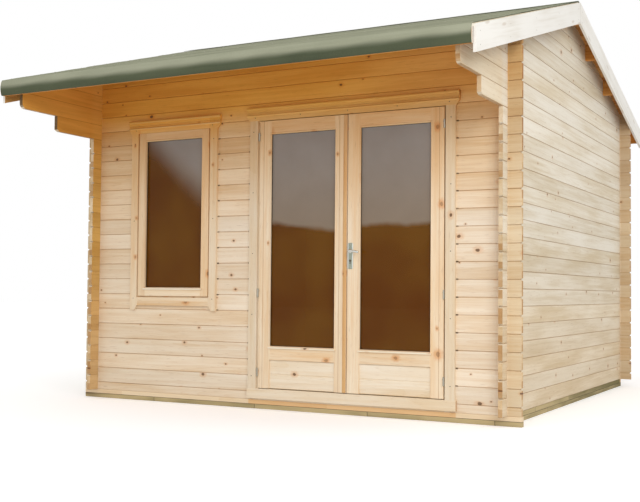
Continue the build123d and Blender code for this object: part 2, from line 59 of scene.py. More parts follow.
# %% The camera
IMAGE_WIDTH, IMAGE_HEIGHT = 640, 502
SENSOR = 36.0
FOCAL_PX = 1024.9
CENTRE_PX = (310.1, 256.5)
eye = Vector((3.697, -7.791, 0.841))
turn, climb, roll = radians(28.53), radians(2.0), radians(0.507)

forward = Vector((-sin(turn) * cos(climb), cos(turn) * cos(climb), sin(climb)))
level = Vector((cos(turn), sin(turn), 0))
right = level * cos(roll) + level.cross(forward) * sin(roll)
up = right.cross(forward)
lens = bpy.data.cameras.new("camera")
lens.sensor_width = SENSOR
lens.lens = SENSOR * FOCAL_PX / IMAGE_WIDTH
lens.shift_x = (IMAGE_WIDTH / 2 - CENTRE_PX[0]) / IMAGE_WIDTH
lens.shift_y = (CENTRE_PX[1] - IMAGE_HEIGHT / 2) / IMAGE_WIDTH
camera = bpy.data.objects.new("camera", lens)
bpy.context.scene.collection.objects.link(camera)
aim = Matrix((right, up, -forward)).transposed().to_4x4()
camera.matrix_world = Matrix.Translation(eye) @ aim
bpy.context.scene.camera = camera
bpy.context.scene.view_settings.view_transform = "Standard"
print("camera:", round(lens.lens, 1), "mm, eye at", tuple(round(v, 2) for v in eye))

# %% [markdown]
# ## Node maths that reads like maths
# A material is a graph, but its ideas are sums and products. One small class wraps a
# socket: `1 - mask` or `a * b + c` adds the Math nodes. Every other node comes from
# the one method `node`, which sets the node's settings first and its sockets second.

# %% The shading class
class Shade:
    """A socket in a node tree; arithmetic on it adds Math nodes."""

    def __init__(self, tree, socket=None):
        self.tree = tree
        self.socket = socket

    def node(self, kind, inputs=None, output=0, **settings):
        """Add a node: its settings first, then a value or a link for each socket."""
        made = self.tree.nodes.new(kind)
        for name, value in settings.items():
            setattr(made, name, value)
        for name, value in (inputs or {}).items():
            if isinstance(value, Shade):
                self.tree.links.new(value.socket, made.inputs[name])
            else:
                made.inputs[name].default_value = value
        return Shade(self.tree, made.outputs[output])

    def out(self, name):
        """Another output of the same node."""
        return Shade(self.tree, self.socket.node.outputs[name])

    def maths(self, operation, *values):
        """A Math node; its values are numbers or Shades."""
        return self.node("ShaderNodeMath", dict(enumerate(values)), operation=operation)

    def __add__(self, other):
        return self.maths("ADD", self, other)

    def __mul__(self, other):
        return self.maths("MULTIPLY", self, other)

    def __sub__(self, other):
        return self.maths("SUBTRACT", self, other)

    def __rsub__(self, other):
        return self.maths("SUBTRACT", other, self)

    def __truediv__(self, other):
        return self.maths("DIVIDE", self, other)

    def __pow__(self, other):
        return self.maths("POWER", self, other)

    def __abs__(self):
        return self.maths("ABSOLUTE", self)

    def __gt__(self, other):
        return self.maths("GREATER_THAN", self, other)

    def __lt__(self, other):
        return self.maths("LESS_THAN", self, other)

    __radd__ = __add__
    __rmul__ = __mul__

    def floor(self):
        return self.maths("FLOOR", self)

    def fraction(self):
        return self.maths("FRACT", self)

    def root(self):
        return self.maths("SQRT", self)

    def ease(self, low, high, start=0.0, end=1.0):
        """Smooth step from start, where the value is low, to end, where it is high."""
        ends = {"From Min": low, "From Max": high, "To Min": start, "To Max": end}
        return self.node(
            "ShaderNodeMapRange", {"Value": self, **ends}, interpolation_type="SMOOTHSTEP"
        )

    def vector(self, x, y, z):
        return self.node("ShaderNodeCombineXYZ", {0: x, 1: y, 2: z})

    def place(self):
        """Object coordinates, in metres; its output "Normal" is where a face looks."""
        return self.node("ShaderNodeTexCoord", output="Object")

    def parts(self):
        """The three parts of a vector."""
        split = self.node("ShaderNodeSeparateXYZ", {0: self})
        return [split.out(number) for number in range(3)]

    def noise(self, x, y, z, detail=2.0, roughness=0.5):
        """Fractal noise, 0 to 1, of a point whose axes are already scaled."""
        sockets = {"Vector": self.vector(x, y, z), "Scale": 1.0, "Detail": detail}
        return self.node("ShaderNodeTexNoise", {**sockets, "Roughness": roughness})

    def chance(self, number):
        """One random value, 0 to 1, for each whole number."""
        return self.node("ShaderNodeTexWhiteNoise", {"W": number}, noise_dimensions="1D")

    def cells(self, x, y):
        """A flat Voronoi pattern, one cell for each unit square on average."""
        sockets = {"Vector": self.vector(x, y, 0.0), "Scale": 1.0}
        return self.node("ShaderNodeTexVoronoi", sockets, voronoi_dimensions="2D")

    def mix(self, first, second, blend="MIX"):
        """Colour between first and second, by this factor."""
        sockets = {0: self, 6: first, 7: second}
        settings = {"data_type": "RGBA", "blend_type": blend}
        return self.node("ShaderNodeMix", sockets, output=2, **settings)

    def tint(self, first, second):
        """The first colour, multiplied by the second where this factor is 1."""
        return self.mix(first, second, "MULTIPLY")

    def scaled(self, factor):
        """This colour with every channel times the factor."""
        sockets = {0: self, "Scale": factor}
        return self.node("ShaderNodeVectorMath", sockets, operation="SCALE")

    def bump(self, height, strength, distance):
        """A normal that leans with the slope of the height."""
        sockets = {"Strength": strength, "Distance": distance, "Height": height}
        return self.node("ShaderNodeBump", sockets)


def colour(red, green, blue):
    """A display colour, 0 to 255, as the linear values that shaders use."""
    share = np.array([red, green, blue]) / 255
    linear = np.where(share <= 0.04045, share / 12.92, ((share + 0.055) / 1.055) ** 2.4)
    return (*linear.tolist(), 1.0)


def finish_of(name):
    """A new material, and a Shade to build it with."""
    material = bpy.data.materials.new(name)
    material.use_nodes = True
    return material, Shade(material.node_tree)


def feed(node, name, value):
    """Link a Shade to a socket of a node, or set a plain value there."""
    socket = node.inputs[name]
    if isinstance(value, Shade):
        value.tree.links.new(value.socket, socket)
    else:
        socket.default_value = value


def finish(material, sockets):
    """Feed the sockets of the material's Principled node, and give the material."""
    for name, value in sockets.items():
        feed(material.node_tree.nodes["Principled BSDF"], name, value)
    return material


print("shading class ready")

# %% [markdown]
# ## Spruce
# Every board here is sawn from a round trunk, so its figure is a set of rings cut by a
# plane. The distance to a heart line that wanders slowly along the board gives straight
# lines at the edges and arches in the middle. Knots are cells of a Voronoi pattern that
# is stretched along the grain. Each board draws its own tone and its own part of the
# pattern from its number, so that no two logs match.

# %% Knots
RING = 0.0062
CELLS_ALONG, CELLS_ACROSS = 1.9, 8.5


def knots_in(new, along_p, across_q, share, girth, luck):
    """Core and halo of the knots, each 0 to 1, in the given share of the cells.

    The radius is girth * (4 mm + 7.5 mm * a random number squared), noise makes the
    outline ragged, and the halo fades out at 3.4 radii.
    """
    knot = new.cells(along_p * CELLS_ALONG, across_q * CELLS_ACROSS)
    centre = knot.out("Position").parts()
    draw = new.node("ShaderNodeSeparateColor", {0: knot.out("Color")})
    off_p = (along_p - centre[0] / CELLS_ALONG) * 0.75
    off_q = across_q - centre[1] / CELLS_ACROSS
    wobble = new.noise(along_p * 60.0, across_q * 60.0, luck, 1.0)
    off = (off_p * off_p + off_q * off_q).root() * (wobble * 0.7 + 0.65)
    size = (draw.out(0) ** 2.0 * 0.0075 + 0.0040) * girth
    there = draw.out(1) < share
    core = (off / size).ease(0.75, 1.15, 1.0, 0.0) * there
    halo = (off / size).ease(0.8, 3.4, 1.0, 0.0) * there
    return core, halo


print("knots ready")

# %% [markdown]
# ## Painted shade on the walls
# The tints below multiply the wood's own colour, and most of them are painted shade. Honey
# and then amber painted shade come in with height under the canopy. The far left of the
# front wall gets a painted shade, and so do the side logs that look into the porch. The
# crossing log ends outside the corners are duller than the walls, with a cool painted shade
# as they rise.

# %% Painted shade and tints
HONEY_SHADE, AMBER_SHADE = (0.93, 0.80, 0.60, 1.0), (0.90, 0.66, 0.20, 1.0)
PORCH_SHADE, CROSSING = (0.88, 0.60, 0.21, 1.0), (0.84, 0.79, 0.68, 1.0)
CROSSING_REAR, CROSSING_HIGH_SHADE = (0.88, 0.84, 0.80, 1.0), (0.86, 0.86, 0.90, 1.0)
LEFT_SHADE = (0.92, 0.89, 0.84, 1.0)
PORCH_BACK = -1.4445


def under_canopy(wood, xyz, lift, cloud):
    """Tints of the front and back logs, most of them painted shade that turns honey and
    then amber as they rise.

    The far left of the front wall gets a painted shade. The crossing log ends are duller,
    darker at the back, with a cool painted shade as they rise. `lift` raises the heights,
    in metres, and the cloud blurs them by 50 mm each way.
    """
    x, y, z = xyz
    # painted shade: the front wall darker towards its far left
    left_shade = x.ease(-1.6, 0.3, 1.0, 0.0) * (y < 0)
    wood = left_shade.tint(wood, LEFT_SHADE)
    outside = abs(x).ease(1.655, 1.70)
    wood = outside.tint(wood, CROSSING)
    wood = (outside * y.ease(1.0, 1.6)).tint(wood, CROSSING_REAR)
    # a cool painted shade on the crossing log ends as they rise
    wood = (outside * z.ease(1.4, 2.1)).tint(wood, CROSSING_HIGH_SHADE)
    rise = z - lift - outside * 0.16 + (cloud - 0.5) * 0.10
    # honey painted shade as the logs rise, in full on the front and at 30% on the back
    shade_share = (y < 0.5) * 0.7 + 0.3
    wood = (rise.ease(1.15, 2.02) * shade_share).tint(wood, HONEY_SHADE)
    # amber painted shade high under the canopy, weaker on the crossing ends and to the
    # right, where the light comes from; painted bounce light brightens it by up to 15%
    deep = rise.ease(1.90, 2.24) * (1 - outside * 0.6) * shade_share
    deep = deep * x.ease(0.2, 1.6, 1.0, 0.80)
    return deep.tint(wood, AMBER_SHADE).scaled(deep * 0.15 + 1.0)


def round_porch(wood, xyz, facing, share):
    """Painted shade on the side logs where they look into the porch, stronger as they rise.
    """
    x, y, z = xyz
    porch = (y - PORCH_BACK).ease(-0.001, 0.0, 1.0, 0.0)
    looking_in = (facing[0] * ((x > 0) * -2 + 1)).ease(0.5, 0.9) * porch
    wood = (looking_in * z.ease(0.0, 1.3, 0.6, 1.0)).tint(wood, PORCH_SHADE)
    # half the honey painted shade on the side logs under the canopy's end
    canopy_end = (y + 1.5).ease(-0.1, 0.0, 1.0, 0.0)
    wood = (canopy_end * 0.5).tint(wood, HONEY_SHADE)
    # amber painted shade high up on the faces that look in, and painted bounce light that
    # brightens them by up to 25%
    upper = looking_in * z.ease(1.5, 2.2)
    return (upper * share).tint(wood, AMBER_SHADE).scaled(upper * 0.25 + 1.0)


print("painted_shade ready")

# %% [markdown]
# ## Boards of spruce
# One function makes every planed board. It takes the grain's axis, numbers the boards
# across it, and builds the colour in this order: rings and streaks, painted shade and
# weather, knots, sawn ends, and last the dark lines between the boards, with painted shade
# for grooves and for nicks beside the trims. `FIGURE` is the strength of the rings, and
# `TONE` is how much the boards differ. `AXES` gives the numbers of the axes along the
# grain, across the boards and through them.

# %% Spruce
SILL = 0.064
LOG = 0.116
FIGURE, TONE = 0.34, 0.10
FLECK, HALO = (0.42, 0.24, 0.11, 1.0), (0.80, 0.42, 0.14, 1.0)
KNOT_BROWN, NICK_SHADE = (0.115, 0.058, 0.025, 1.0), (0.13, 0.075, 0.035, 1.0)
SEAM_BROWN, GROOVE_SHADE = (0.54, 0.36, 0.20, 1.0), (0.56, 0.38, 0.21, 1.0)
RAW_END, PALE_END = (0.66, 0.46, 0.28, 1.0), (0.96, 0.87, 0.74, 1.0)
TIP_SHADE = (0.24, 0.18, 0.11, 1.0)
AXES = {"x": (0, 2, 1), "y": (1, 2, 0), "z": (2, 0, 1), "x flat": (0, 1, 2)}


def spruce(
    name, pale, deep, along="x", board=(0.0, 50.0), seam=0.0, knots=0.5, upright=None,
    canopy_shade_lift=None, heart=(0.0, 0.0), seed=0.0, porch_shade=0.0, damp=None, painted=None, pith=0.85,
    glow=0.4, lines=(), girth=1.0, nick_shadows=(),
):
    """Planed softwood.

    along    the grain's axis; 'flat' boards lie on their face
    board    where the first board starts across the grain, and the boards' width
    seam     half the width of the dark line between boards, in metres
    knots    share of the pattern's cells that hold a knot
    upright  (centre, half): beyond that half width the grain stands upright
    canopy_shade_lift  lift, in metres, of the heights where the painted shade under the
    canopy comes in
    heart    (centre, half): the two walls' places, for the rings on log ends
    porch_shade  how strong the painted shade is on the faces that look into the porch; it
    also turns on the painted shade of the left log ends at the porch's front
    damp     tint of the lowest logs
    painted  colour of the sawn ends, where they carry the bargeboards' white coat
    pith     how dark a knot's middle is
    glow     how orange the wood round a knot is
    lines    where a dark line of painted shade stands for a fine upright groove, along X
    girth    how large the knots are
    nick_shadows  (x, low, high): an edge of a trim, beside which each joint gets a small
    nick of painted shadow
    """
    material, new = finish_of(name)
    place = new.place()
    xyz, facing = place.parts(), place.out("Normal").parts()
    p, q, r = (xyz[axis] for axis in AXES[along])
    if upright:
        standing = abs(xyz[0] - upright[0]) > upright[1]
        right_side = xyz[0] > upright[0]
        p, q = p + (xyz[2] - p) * standing, q + (xyz[0] - q) * standing
        end_facing = abs(facing[0]) * (1 - standing) + abs(facing[2]) * standing
        high = (xyz[2] * 1.31).floor()
        number = standing * (right_side * 2 + 11) + (1 - standing) * (high + 3)
        across = q
    else:
        end_facing = abs(facing[AXES[along][0]])
        number = ((q - board[0]) / board[1]).floor()
        across = q - board[0] - (number + 0.5) * board[1]
    luck = new.chance(number * 7.13 + seed + 0.37)
    luck_2 = new.chance(number * 3.71 + seed + 19.1)
    along_p = p + luck * 41.0
    across_q = q + luck_2 * 9.0

    # rings: distance from a wandering heart line
    wander = new.noise(along_p * 0.42, across_q * 1.3, r * 1.3, 1.0)
    wander_2 = new.noise(along_p * 0.9, across_q * 3.0, r * 2.0 + 7.0, 1.0)
    heart_q = across + (luck_2 - 0.5) * 0.09 + (wander - 0.5) * 0.10
    heart_r = abs(r - heart[0]) - heart[1] + 0.030 + luck * 0.05 + (wander_2 - 0.5) * 0.05
    distance = (heart_q * heart_q + heart_r * heart_r).root()
    core, halo = knots_in(new, along_p, across_q, knots, girth, luck)
    late = ((distance + halo * 0.004) / RING + wander_2 * 0.8).fraction() ** 3.0

    # colour between the rings, and each board's own tone
    streak = new.noise(along_p * 1.6, across_q * 42.0, r * 42.0, 3.0, 0.6)
    cloud = new.noise(along_p * 1.1, across_q * 5.0, r * 5.0, 2.0)
    fleck = new.noise(along_p * 14.0, across_q * 160.0, r * 160.0, 1.0)
    mask = late * (FIGURE * 0.5) + (streak - 0.5) * 1.15 + (cloud - 0.45) * 1.4
    mask = mask + (luck - 0.5) * (TONE * 3.0) + 0.30
    wood = mask.ease(-0.15, 1.05).mix(pale, deep)
    wood = (fleck.ease(0.62, 0.80) * 0.25).tint(wood, FLECK)
    wood = wood.scaled(1.0 - TONE * 0.5 + luck_2 * TONE)

    # painted shade under the canopy and round the porch, and the tint of the lowest logs
    if canopy_shade_lift is not None:
        wood = under_canopy(wood, xyz, canopy_shade_lift, cloud)
    if porch_shade:
        wood = round_porch(wood, xyz, facing, porch_shade)
    if damp:
        wood = xyz[2].ease(0.25, 1.35, 1.0, 0.0).tint(wood, (*damp, 1.0))

    # knots and sawn ends
    wood = (halo * glow).tint(wood, HALO)
    wood = (core * pith).mix(wood, KNOT_BROWN)
    end_grain = end_facing.ease(0.7, 0.9)
    which_end = new.chance((xyz[2] / LOG * 2).floor() + seed + 5.0).ease(0.2, 0.8)
    sawn = which_end.mix(RAW_END, PALE_END)
    if porch_shade:
        # painted shade on the left log ends at the porch's front
        tip = xyz[1].ease(-1.7, -1.6, 1.0, 0.0) * (xyz[0] < 0)
        sawn = tip.mix(sawn, TIP_SHADE)
    wood = end_grain.tint(wood, sawn)
    if painted:
        wood = end_grain.mix(wood, painted)

    # painted shade for the grooves and for nicks beside the trims, and the dark joints
    # a dark line of painted shade for each fine groove
    for line_x in lines:
        groove = abs(xyz[0] - line_x).ease(0.0010, 0.0028, 1.0, 0.0)
        wood = (groove * 0.7).tint(wood, GROOVE_SHADE)
    height = late * 0.25 + streak * 0.3 - core * 0.4
    if seam:
        gap = (0.5 - abs(((q - board[0]) / board[1]).fraction() - 0.5)) * board[1]
        uneven = new.noise(p * 1.3, number * 5.1, seed, 2.0).ease(0.25, 0.75, 0.55, 1.0)
        line = gap.ease(seam * 0.8, seam * 2.0, 1.0, 0.0) * uneven
        wood = (line * 0.85).tint(wood, SEAM_BROWN)
        # a small nick of painted shadow where each joint meets a trim's edge
        nick_shade = gap.ease(0.0030, 0.0075, 1.0, 0.0) * (luck + 0.35)
        for edge, low, high in nick_shadows:
            beside = abs(xyz[0] - edge).ease(0.007, 0.014, 1.0, 0.0) * (xyz[1] < 0)
            beside = beside * (xyz[2] > low) * (xyz[2] < high)
            wood = (beside * nick_shade).mix(wood, NICK_SHADE)
        height = height - line * 1.5
    return finish(material, {
        "Base Color": wood,
        "Roughness": late * -0.12 + core * -0.15 + 0.66,
        "Normal": new.bump(height, 0.35, 0.0012),
        "Specular IOR Level": 0.22,
    })


print("spruce ready:", len(AXES), "ways for the grain to run")

# %% [markdown]
# ## The finishes of the walls, the roof and the floor
# The front logs are a little warmer than the side logs, partly painted light, for the
# warmer light on the front, and partly the side logs' weathering. The places where a trim's
# edge crosses the log joints are listed once, with their heights, and each joint there gets
# a small nick of painted shadow.

# %% Spruce finishes
front_pale, front_deep = colour(245, 232, 212), colour(224, 196, 159)
side_pale, side_deep = colour(236, 228, 212), colour(208, 190, 158)
joinery_pale, joinery_deep = colour(245, 229, 203), colour(232, 197, 152)
trim_pale, trim_deep = colour(241, 229, 209), colour(228, 205, 170)
TRIM_EDGES = [
    (-1.338, 0.70, 2.05), (-0.532, 0.70, 2.05), (-0.256, 0.15, 2.08), (1.340, 0.15, 2.08),
    (1.648, 0.0, 2.4),
]
front_logs = spruce(
    "front_logs", front_pale, front_deep, "x", (SILL + LOG / 2, LOG), 0.0013, 0.70,
    canopy_shade_lift=0.0, heart=(0.265, 1.696), seed=3.0, nick_shadows=TRIM_EDGES,
)
side_logs = spruce(
    "side_logs", side_pale, side_deep, "y", (SILL, LOG), 0.0013, 0.50,
    heart=(0.0, 1.666), seed=47.0, porch_shade=0.42, damp=(0.96, 0.89, 0.80),
)
level_joinery = spruce(
    "level_joinery", trim_pale, trim_deep, "x", (0.0, 0.2), 0.0, 0.3,
    canopy_shade_lift=-0.02, seed=61.0,
)
upright_joinery = spruce(
    "upright_joinery", trim_pale, trim_deep, "z", (0.0, 0.7), 0.0, 0.3,
    canopy_shade_lift=0.10, seed=83.0,
)
roof_timber = spruce(
    "roof_timber", colour(232, 176, 100), colour(196, 124, 50), "x", (0.0, 0.3), 0.0, 0.4,
    seed=17.0, painted=colour(238, 231, 214),
)
roof_underside = spruce(
    "roof_underside", colour(226, 172, 104), colour(182, 112, 48), "x flat",
    (0.0, 0.092), 0.0012, 0.4, seed=23.0, painted=colour(226, 214, 188),
)
# The meeting strip's spruce is darker and more orange than the other joinery: painted shade
# from the gap between the leaves.
strip_wood_shaded = spruce(
    "strip_wood_shaded", colour(226, 186, 132), colour(206, 152, 92), "z", (0.0, 0.7), seed=207.0
)
floor_wood = spruce(
    "floor_wood", joinery_pale, joinery_deep, "x flat", (0.0, 0.112), 0.0012, 0.4, seed=29.0
)
print("spruce:", len(bpy.data.materials), "finishes so far")

# %% [markdown]
# ## Spruce for frames
# In a door leaf or a sash the grain stands upright in the stiles and lies level in the
# rails, so the finish needs to know where the stiles end.

# %% Spruce for framed joinery
DOOR_STILE, SASH_STILE, FRAME_STILE, TRIM_STILE = 0.092, 0.061, 0.036, 0.062
BEAD_LAP = 0.006


def framed(name, node, stile, seed, canopy_shade_lift=0.10, lines=()):
    """Upright grain further from the middle of the node than its rails reach."""
    low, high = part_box(node)
    centre, half = (low.x + high.x) / 2, (high.x - low.x) / 2 - stile - BEAD_LAP
    return spruce(
        name, joinery_pale, joinery_deep, "x", upright=(centre, half), knots=0.55,
        canopy_shade_lift=canopy_shade_lift, seed=seed, pith=0.45, glow=0.6, lines=lines, girth=1.4,
    )


left_leaf_wood = framed(
    "left_leaf_wood", "left_door_frame", DOOR_STILE, 101.0, lines=(-0.135, 0.478)
)
right_leaf_wood = framed(
    "right_leaf_wood", "right_door_frame", DOOR_STILE, 131.0, lines=(1.219,)
)
sash_wood = framed("sash_wood", "window_sash", SASH_STILE, 151.0)
window_frame_wood = framed("window_frame_wood", "window_frame", FRAME_STILE, 171.0)
window_trim_wood = framed(
    "window_trim_wood", "window_side_trims", TRIM_STILE, 191.0, -0.06
)
weather_bar = spruce(
    "weather_bar", colour(250, 240, 220), colour(240, 222, 192), "x", (0.0, 0.2), seed=221.0
)
print("framed joinery ready")

# %% [markdown]
# ## Weathered bargeboards and treated bearers
# The bargeboards carry a thin white undercoat that the grain shows through, and the faces
# that look inwards are timber brown. The bearers are pressure treated: green salts over the
# same wood, darker towards the back, where they stay damp. Each bearer is two layers of
# battens, and at the front and back walls the upper layer is plain timber.

# %% Bargeboards and bearers
PITCH = {"front": radians(16.9), "back": radians(15.3)}
LAYER = 0.032
LENGTH = 0.9
DOORWAY_X, DOORWAY_HALF = 0.542, 0.80


def bargeboard_paint():
    """Thin off-white coat outside, timber brown on the faces that look inwards; the grain
    follows the slope.
    """
    material, new = finish_of("bargeboard_paint")
    place = new.place()
    x, y, z = place.parts()
    along_p = y + (x > 0) * 7.0
    across_q = z + abs(y) * tan((PITCH["front"] + PITCH["back"]) / 2) + (y > 0) * 3.0
    grain = new.noise(along_p * 1.6, across_q * 50.0, 0.0, 3.0, 0.6)
    cloud = new.noise(along_p * 2.2, across_q * 9.0, 0.0, 2.0)
    knot = new.cells(along_p * 2.2, across_q * 9.0)
    draw = new.node("ShaderNodeSeparateColor", {0: knot.out("Color")})
    spot = knot.ease(0.04, 0.13, 1.0, 0.0) * (draw.out(1) < 0.45)
    mask = ((grain - 0.5) * 0.8 + (cloud - 0.4) * 1.0).ease(-0.1, 0.8)
    coat = mask.mix(colour(241, 238, 231), colour(216, 208, 194))
    coat = (spot * 0.35).mix(coat, colour(176, 150, 118))
    mitre = abs(y).ease(0.0012, 0.0022, 1.0, 0.0)
    coat = (mitre * 0.7).mix(coat, (0.30, 0.24, 0.18, 1.0))
    facing_out = place.out("Normal").parts()[0] * ((x > 0) * 2 - 1)
    inside = facing_out.ease(-0.9, -0.5, 1.0, 0.0)
    coat = inside.mix(coat, mask.mix(colour(196, 152, 88), colour(150, 104, 48)))
    return finish(material, {
        "Base Color": coat,
        "Roughness": 0.6 + grain * 0.1,
        "Normal": new.bump(grain - spot * 0.4, 0.3, 0.001),
        "Specular IOR Level": 0.3,
    })


def treated_wood(name, along, seed, bare=False):
    """Pressure-treated battens: greenish, streaked, with a dark seam between layers.

    bare  the upper batten is left untreated, and under the doorway it is redder, a painted
    shade under the threshold
    """
    material, new = finish_of(name)
    x, y, z = new.place().parts()
    p, r = (x, y) if along == "x" else (y, x)
    layer = (z / LAYER).floor()
    place_in_row = (p + layer * 0.31 + seed) / LENGTH
    luck = new.chance(place_in_row.floor() * 5.3 + layer * 17.0 + seed)
    grain = new.noise((p + luck * 9.0) * 2.0, z * 90.0, r * 90.0, 3.0, 0.6)
    cloud = new.noise((p + luck * 5.0) * 3.0, z * 12.0, r * 12.0, 2.0)
    damp = y.ease(-1.6, 2.2)
    mask = (grain - 0.5) * 0.9 + (cloud - 0.5) * 1.2 + luck * 0.3 + damp * 0.75 + 0.1
    mask = mask.ease(0.0, 1.2)
    wood = mask.mix(colour(196, 176, 132), colour(122, 112, 72))
    from_end = (0.5 - abs(place_in_row.fraction() - 0.5)) * LENGTH
    line = from_end.ease(0.001, 0.003, 1.0, 0.0)
    stain = x.ease(-1.74, -1.56, 1.0, 0.0) * cloud.ease(0.42, 0.62) * 0.8
    wood = stain.mix(wood, (0.10, 0.055, 0.020, 1.0))
    if bare:
        # a redder painted shade on the upper batten under the threshold
        doorway = abs(x - DOORWAY_X).ease(DOORWAY_HALF - 0.01, DOORWAY_HALF, 1.0, 0.0)
        clean = mask.mix(colour(238, 216, 182), colour(216, 182, 136))
        clean = (doorway * 0.8).tint(clean, (0.94, 0.72, 0.48, 1.0))
        upper = z > LAYER
        wood = upper.mix(wood, clean)
        line = line * (1 - upper)
    split_line = abs(z - LAYER).ease(0.0008, 0.0020, 1.0, 0.0)
    seam = line.maths("MAXIMUM", line, split_line)
    wood = (seam * 0.85).mix(wood, (0.05, 0.038, 0.018, 1.0))
    return finish(material, {
        "Base Color": wood,
        "Roughness": 0.7 + grain * 0.15,
        "Normal": new.bump(grain - seam, 0.4, 0.0015),
        "Specular IOR Level": 0.2,
    })


paint = bargeboard_paint()
cross_treated = treated_wood("cross_treated", "x", 2.0, True)
side_treated = treated_wood("side_treated", "y", 5.0)
print("bargeboards and bearers ready")

# %% [markdown]
# ## Mineral felt, glass and plated steel
# Felt is bitumen with slate granules pressed into it: a fine speckle, grey green where it
# looks up, and dark green on the faces of the eave fold that turn down, a painted shade.
# The panes are clear, but before a closed room they read as deep brown, and as pale grey
# above a soft level line, where they mirror what is bright; the brown is painted shade and
# the grey a painted reflection. Steel is plated and satin, with a band of painted shade
# down the middle of the lock plates, and rubber is dark and dull.

# %% Felt, glass and steel
LAPS = (1.48, 0.56)
PLATE_X = 0.5685


def mineral_felt():
    """Granules, long drag marks from the roll, a dark line at each lap, and painted shade
    where the eave fold turns down.
    """
    material, new = finish_of("mineral_felt")
    place = new.place()
    x, y, z = place.parts()
    up_share = place.out("Normal").parts()[2]
    upward = up_share.ease(-0.16, 0.24)
    slope = up_share.ease(0.75, 0.92)
    granule = new.noise(x * 620.0, y * 620.0, z * 620.0, 1.0)
    patch = new.noise(x * 1.1, y * 2.6, z * 2.6, 3.0, 0.6)
    drag = new.noise(x * 0.7, y * 11.0, z * 11.0, 3.0, 0.55)
    mask = (granule - 0.5) * 0.9 + (patch - 0.5) * 0.9 + (drag - 0.5) * 0.9 + 0.45
    mask = mask.ease(0.0, 1.0)
    top = mask.mix(colour(132, 135, 112), colour(164, 165, 143))
    laid = mask.mix(colour(117, 120, 95), colour(155, 156, 130))
    # painted shade: dark green on the faces of the eave fold that turn down
    fold = mask.mix(colour(54, 62, 46), colour(92, 98, 74))
    tone = upward.mix(fold, slope.mix(top, laid))
    for lap in LAPS:
        edge = abs(abs(y) - lap).ease(0.003, 0.008, 1.0, 0.0) * slope
        tone = (edge * (0.3 + patch)).tint(tone, (0.48, 0.50, 0.46, 1.0))
    return finish(material, {
        "Base Color": tone,
        "Roughness": granule * 0.1 + 0.82,
        "Normal": new.bump(granule + patch, 0.5, 0.0012),
        "Specular IOR Level": 0.25,
    })


def pane_glass():
    """Clear glass painted over a dark room: warm brown as its painted shade, and a pale
    painted reflection above a soft line.

    The line is level on the doors, with a slight fall on the left leaf, and slants down
    to the right on the window.
    """
    material, new = finish_of("pane_glass")
    x, _, z = new.place().parts()
    haze = new.noise(x * 2.0, 0.0, z * 2.0, 2.0)
    cloud = new.noise(x * 5.0, 3.0, z * 5.0, 3.0)
    # painted shade: the dark room behind the glass, as warm brown
    room_shade = haze.ease(0.3, 0.7).mix(colour(101, 55, 6), colour(116, 75, 18))
    window = x < -0.5
    tilt = (x - 0.20) * (x < 0.5) * (x > -0.2) * 0.12
    reach = z + (cloud - 0.5) * 0.06 + tilt - window * ((x + 0.6) * -0.9 + 0.19)
    # painted reflection: pale grey above a soft line
    bloom = reach.ease(window * -0.15 + 1.28, window * 0.15 + 1.33)
    painted_sky = z.ease(1.25, 2.0).mix(colour(156, 140, 122), colour(172, 166, 160))
    painted_sky = (cloud * 0.35).mix(painted_sky, colour(120, 104, 88))
    return finish(material, {
        "Base Color": bloom.mix(room_shade, painted_sky),
        "Roughness": haze * 0.01 + 0.012,
        "Alpha": 0.80,
        "Specular IOR Level": 0.12,
    })


def satin_steel(name, tint, rough, shade_band_x=None):
    """Brushed plated metal; the last argument is the X of a plate's middle, which gets a
    band of painted shade.
    """
    material, new = finish_of(name)
    x, y, z = new.place().parts()
    brush = new.noise(x * 900.0, y * 900.0, z * 60.0, 2.0)
    metal = (brush * 0.4).mix(colour(*tint), colour(120, 122, 118))
    if shade_band_x is not None:
        # a band of painted shade down the plate's middle
        band_shade = abs(x - shade_band_x).ease(0.0120, 0.0165, 1.0, 0.0)
        metal = band_shade.tint(metal, (0.46, 0.50, 0.43, 1.0))
    return finish(material, {
        "Base Color": metal,
        "Metallic": 1.0,
        "Roughness": brush * 0.14 + rough,
    })


def dark_rubber():
    """Dark gasket rubber with a faint bloom."""
    material, new = finish_of("dark_rubber")
    x, y, z = new.place().parts()
    bloom = new.noise(x * 60.0, y * 60.0, z * 60.0, 2.0)
    return finish(material, {
        "Base Color": (bloom * 0.5).mix(colour(52, 38, 20), colour(84, 66, 42)),
        "Roughness": bloom * 0.2 + 0.6,
    })


felt = mineral_felt()
glass = pane_glass()
steel = satin_steel("satin_steel", (216, 218, 212), 0.18)
plate_steel = satin_steel("plate_steel", (232, 232, 226), 0.22, PLATE_X)
zinc = satin_steel("zinc_steel", (186, 180, 164), 0.35)
dark_iron = satin_steel("dark_iron", (92, 72, 52), 0.5)
rubber = dark_rubber()
print("felt, glass and steel ready")

# %% [markdown]
# ## Dress the solids
# The frame's solids have the right shapes already. Each gets its finish in its slots.

# %% Dress the solids
def dress(material, names):
    """Give each named CAD solid one finish in all its slots."""
    for name in names.split():
        for slot in nodes[name].material_slots:
            slot.material = material


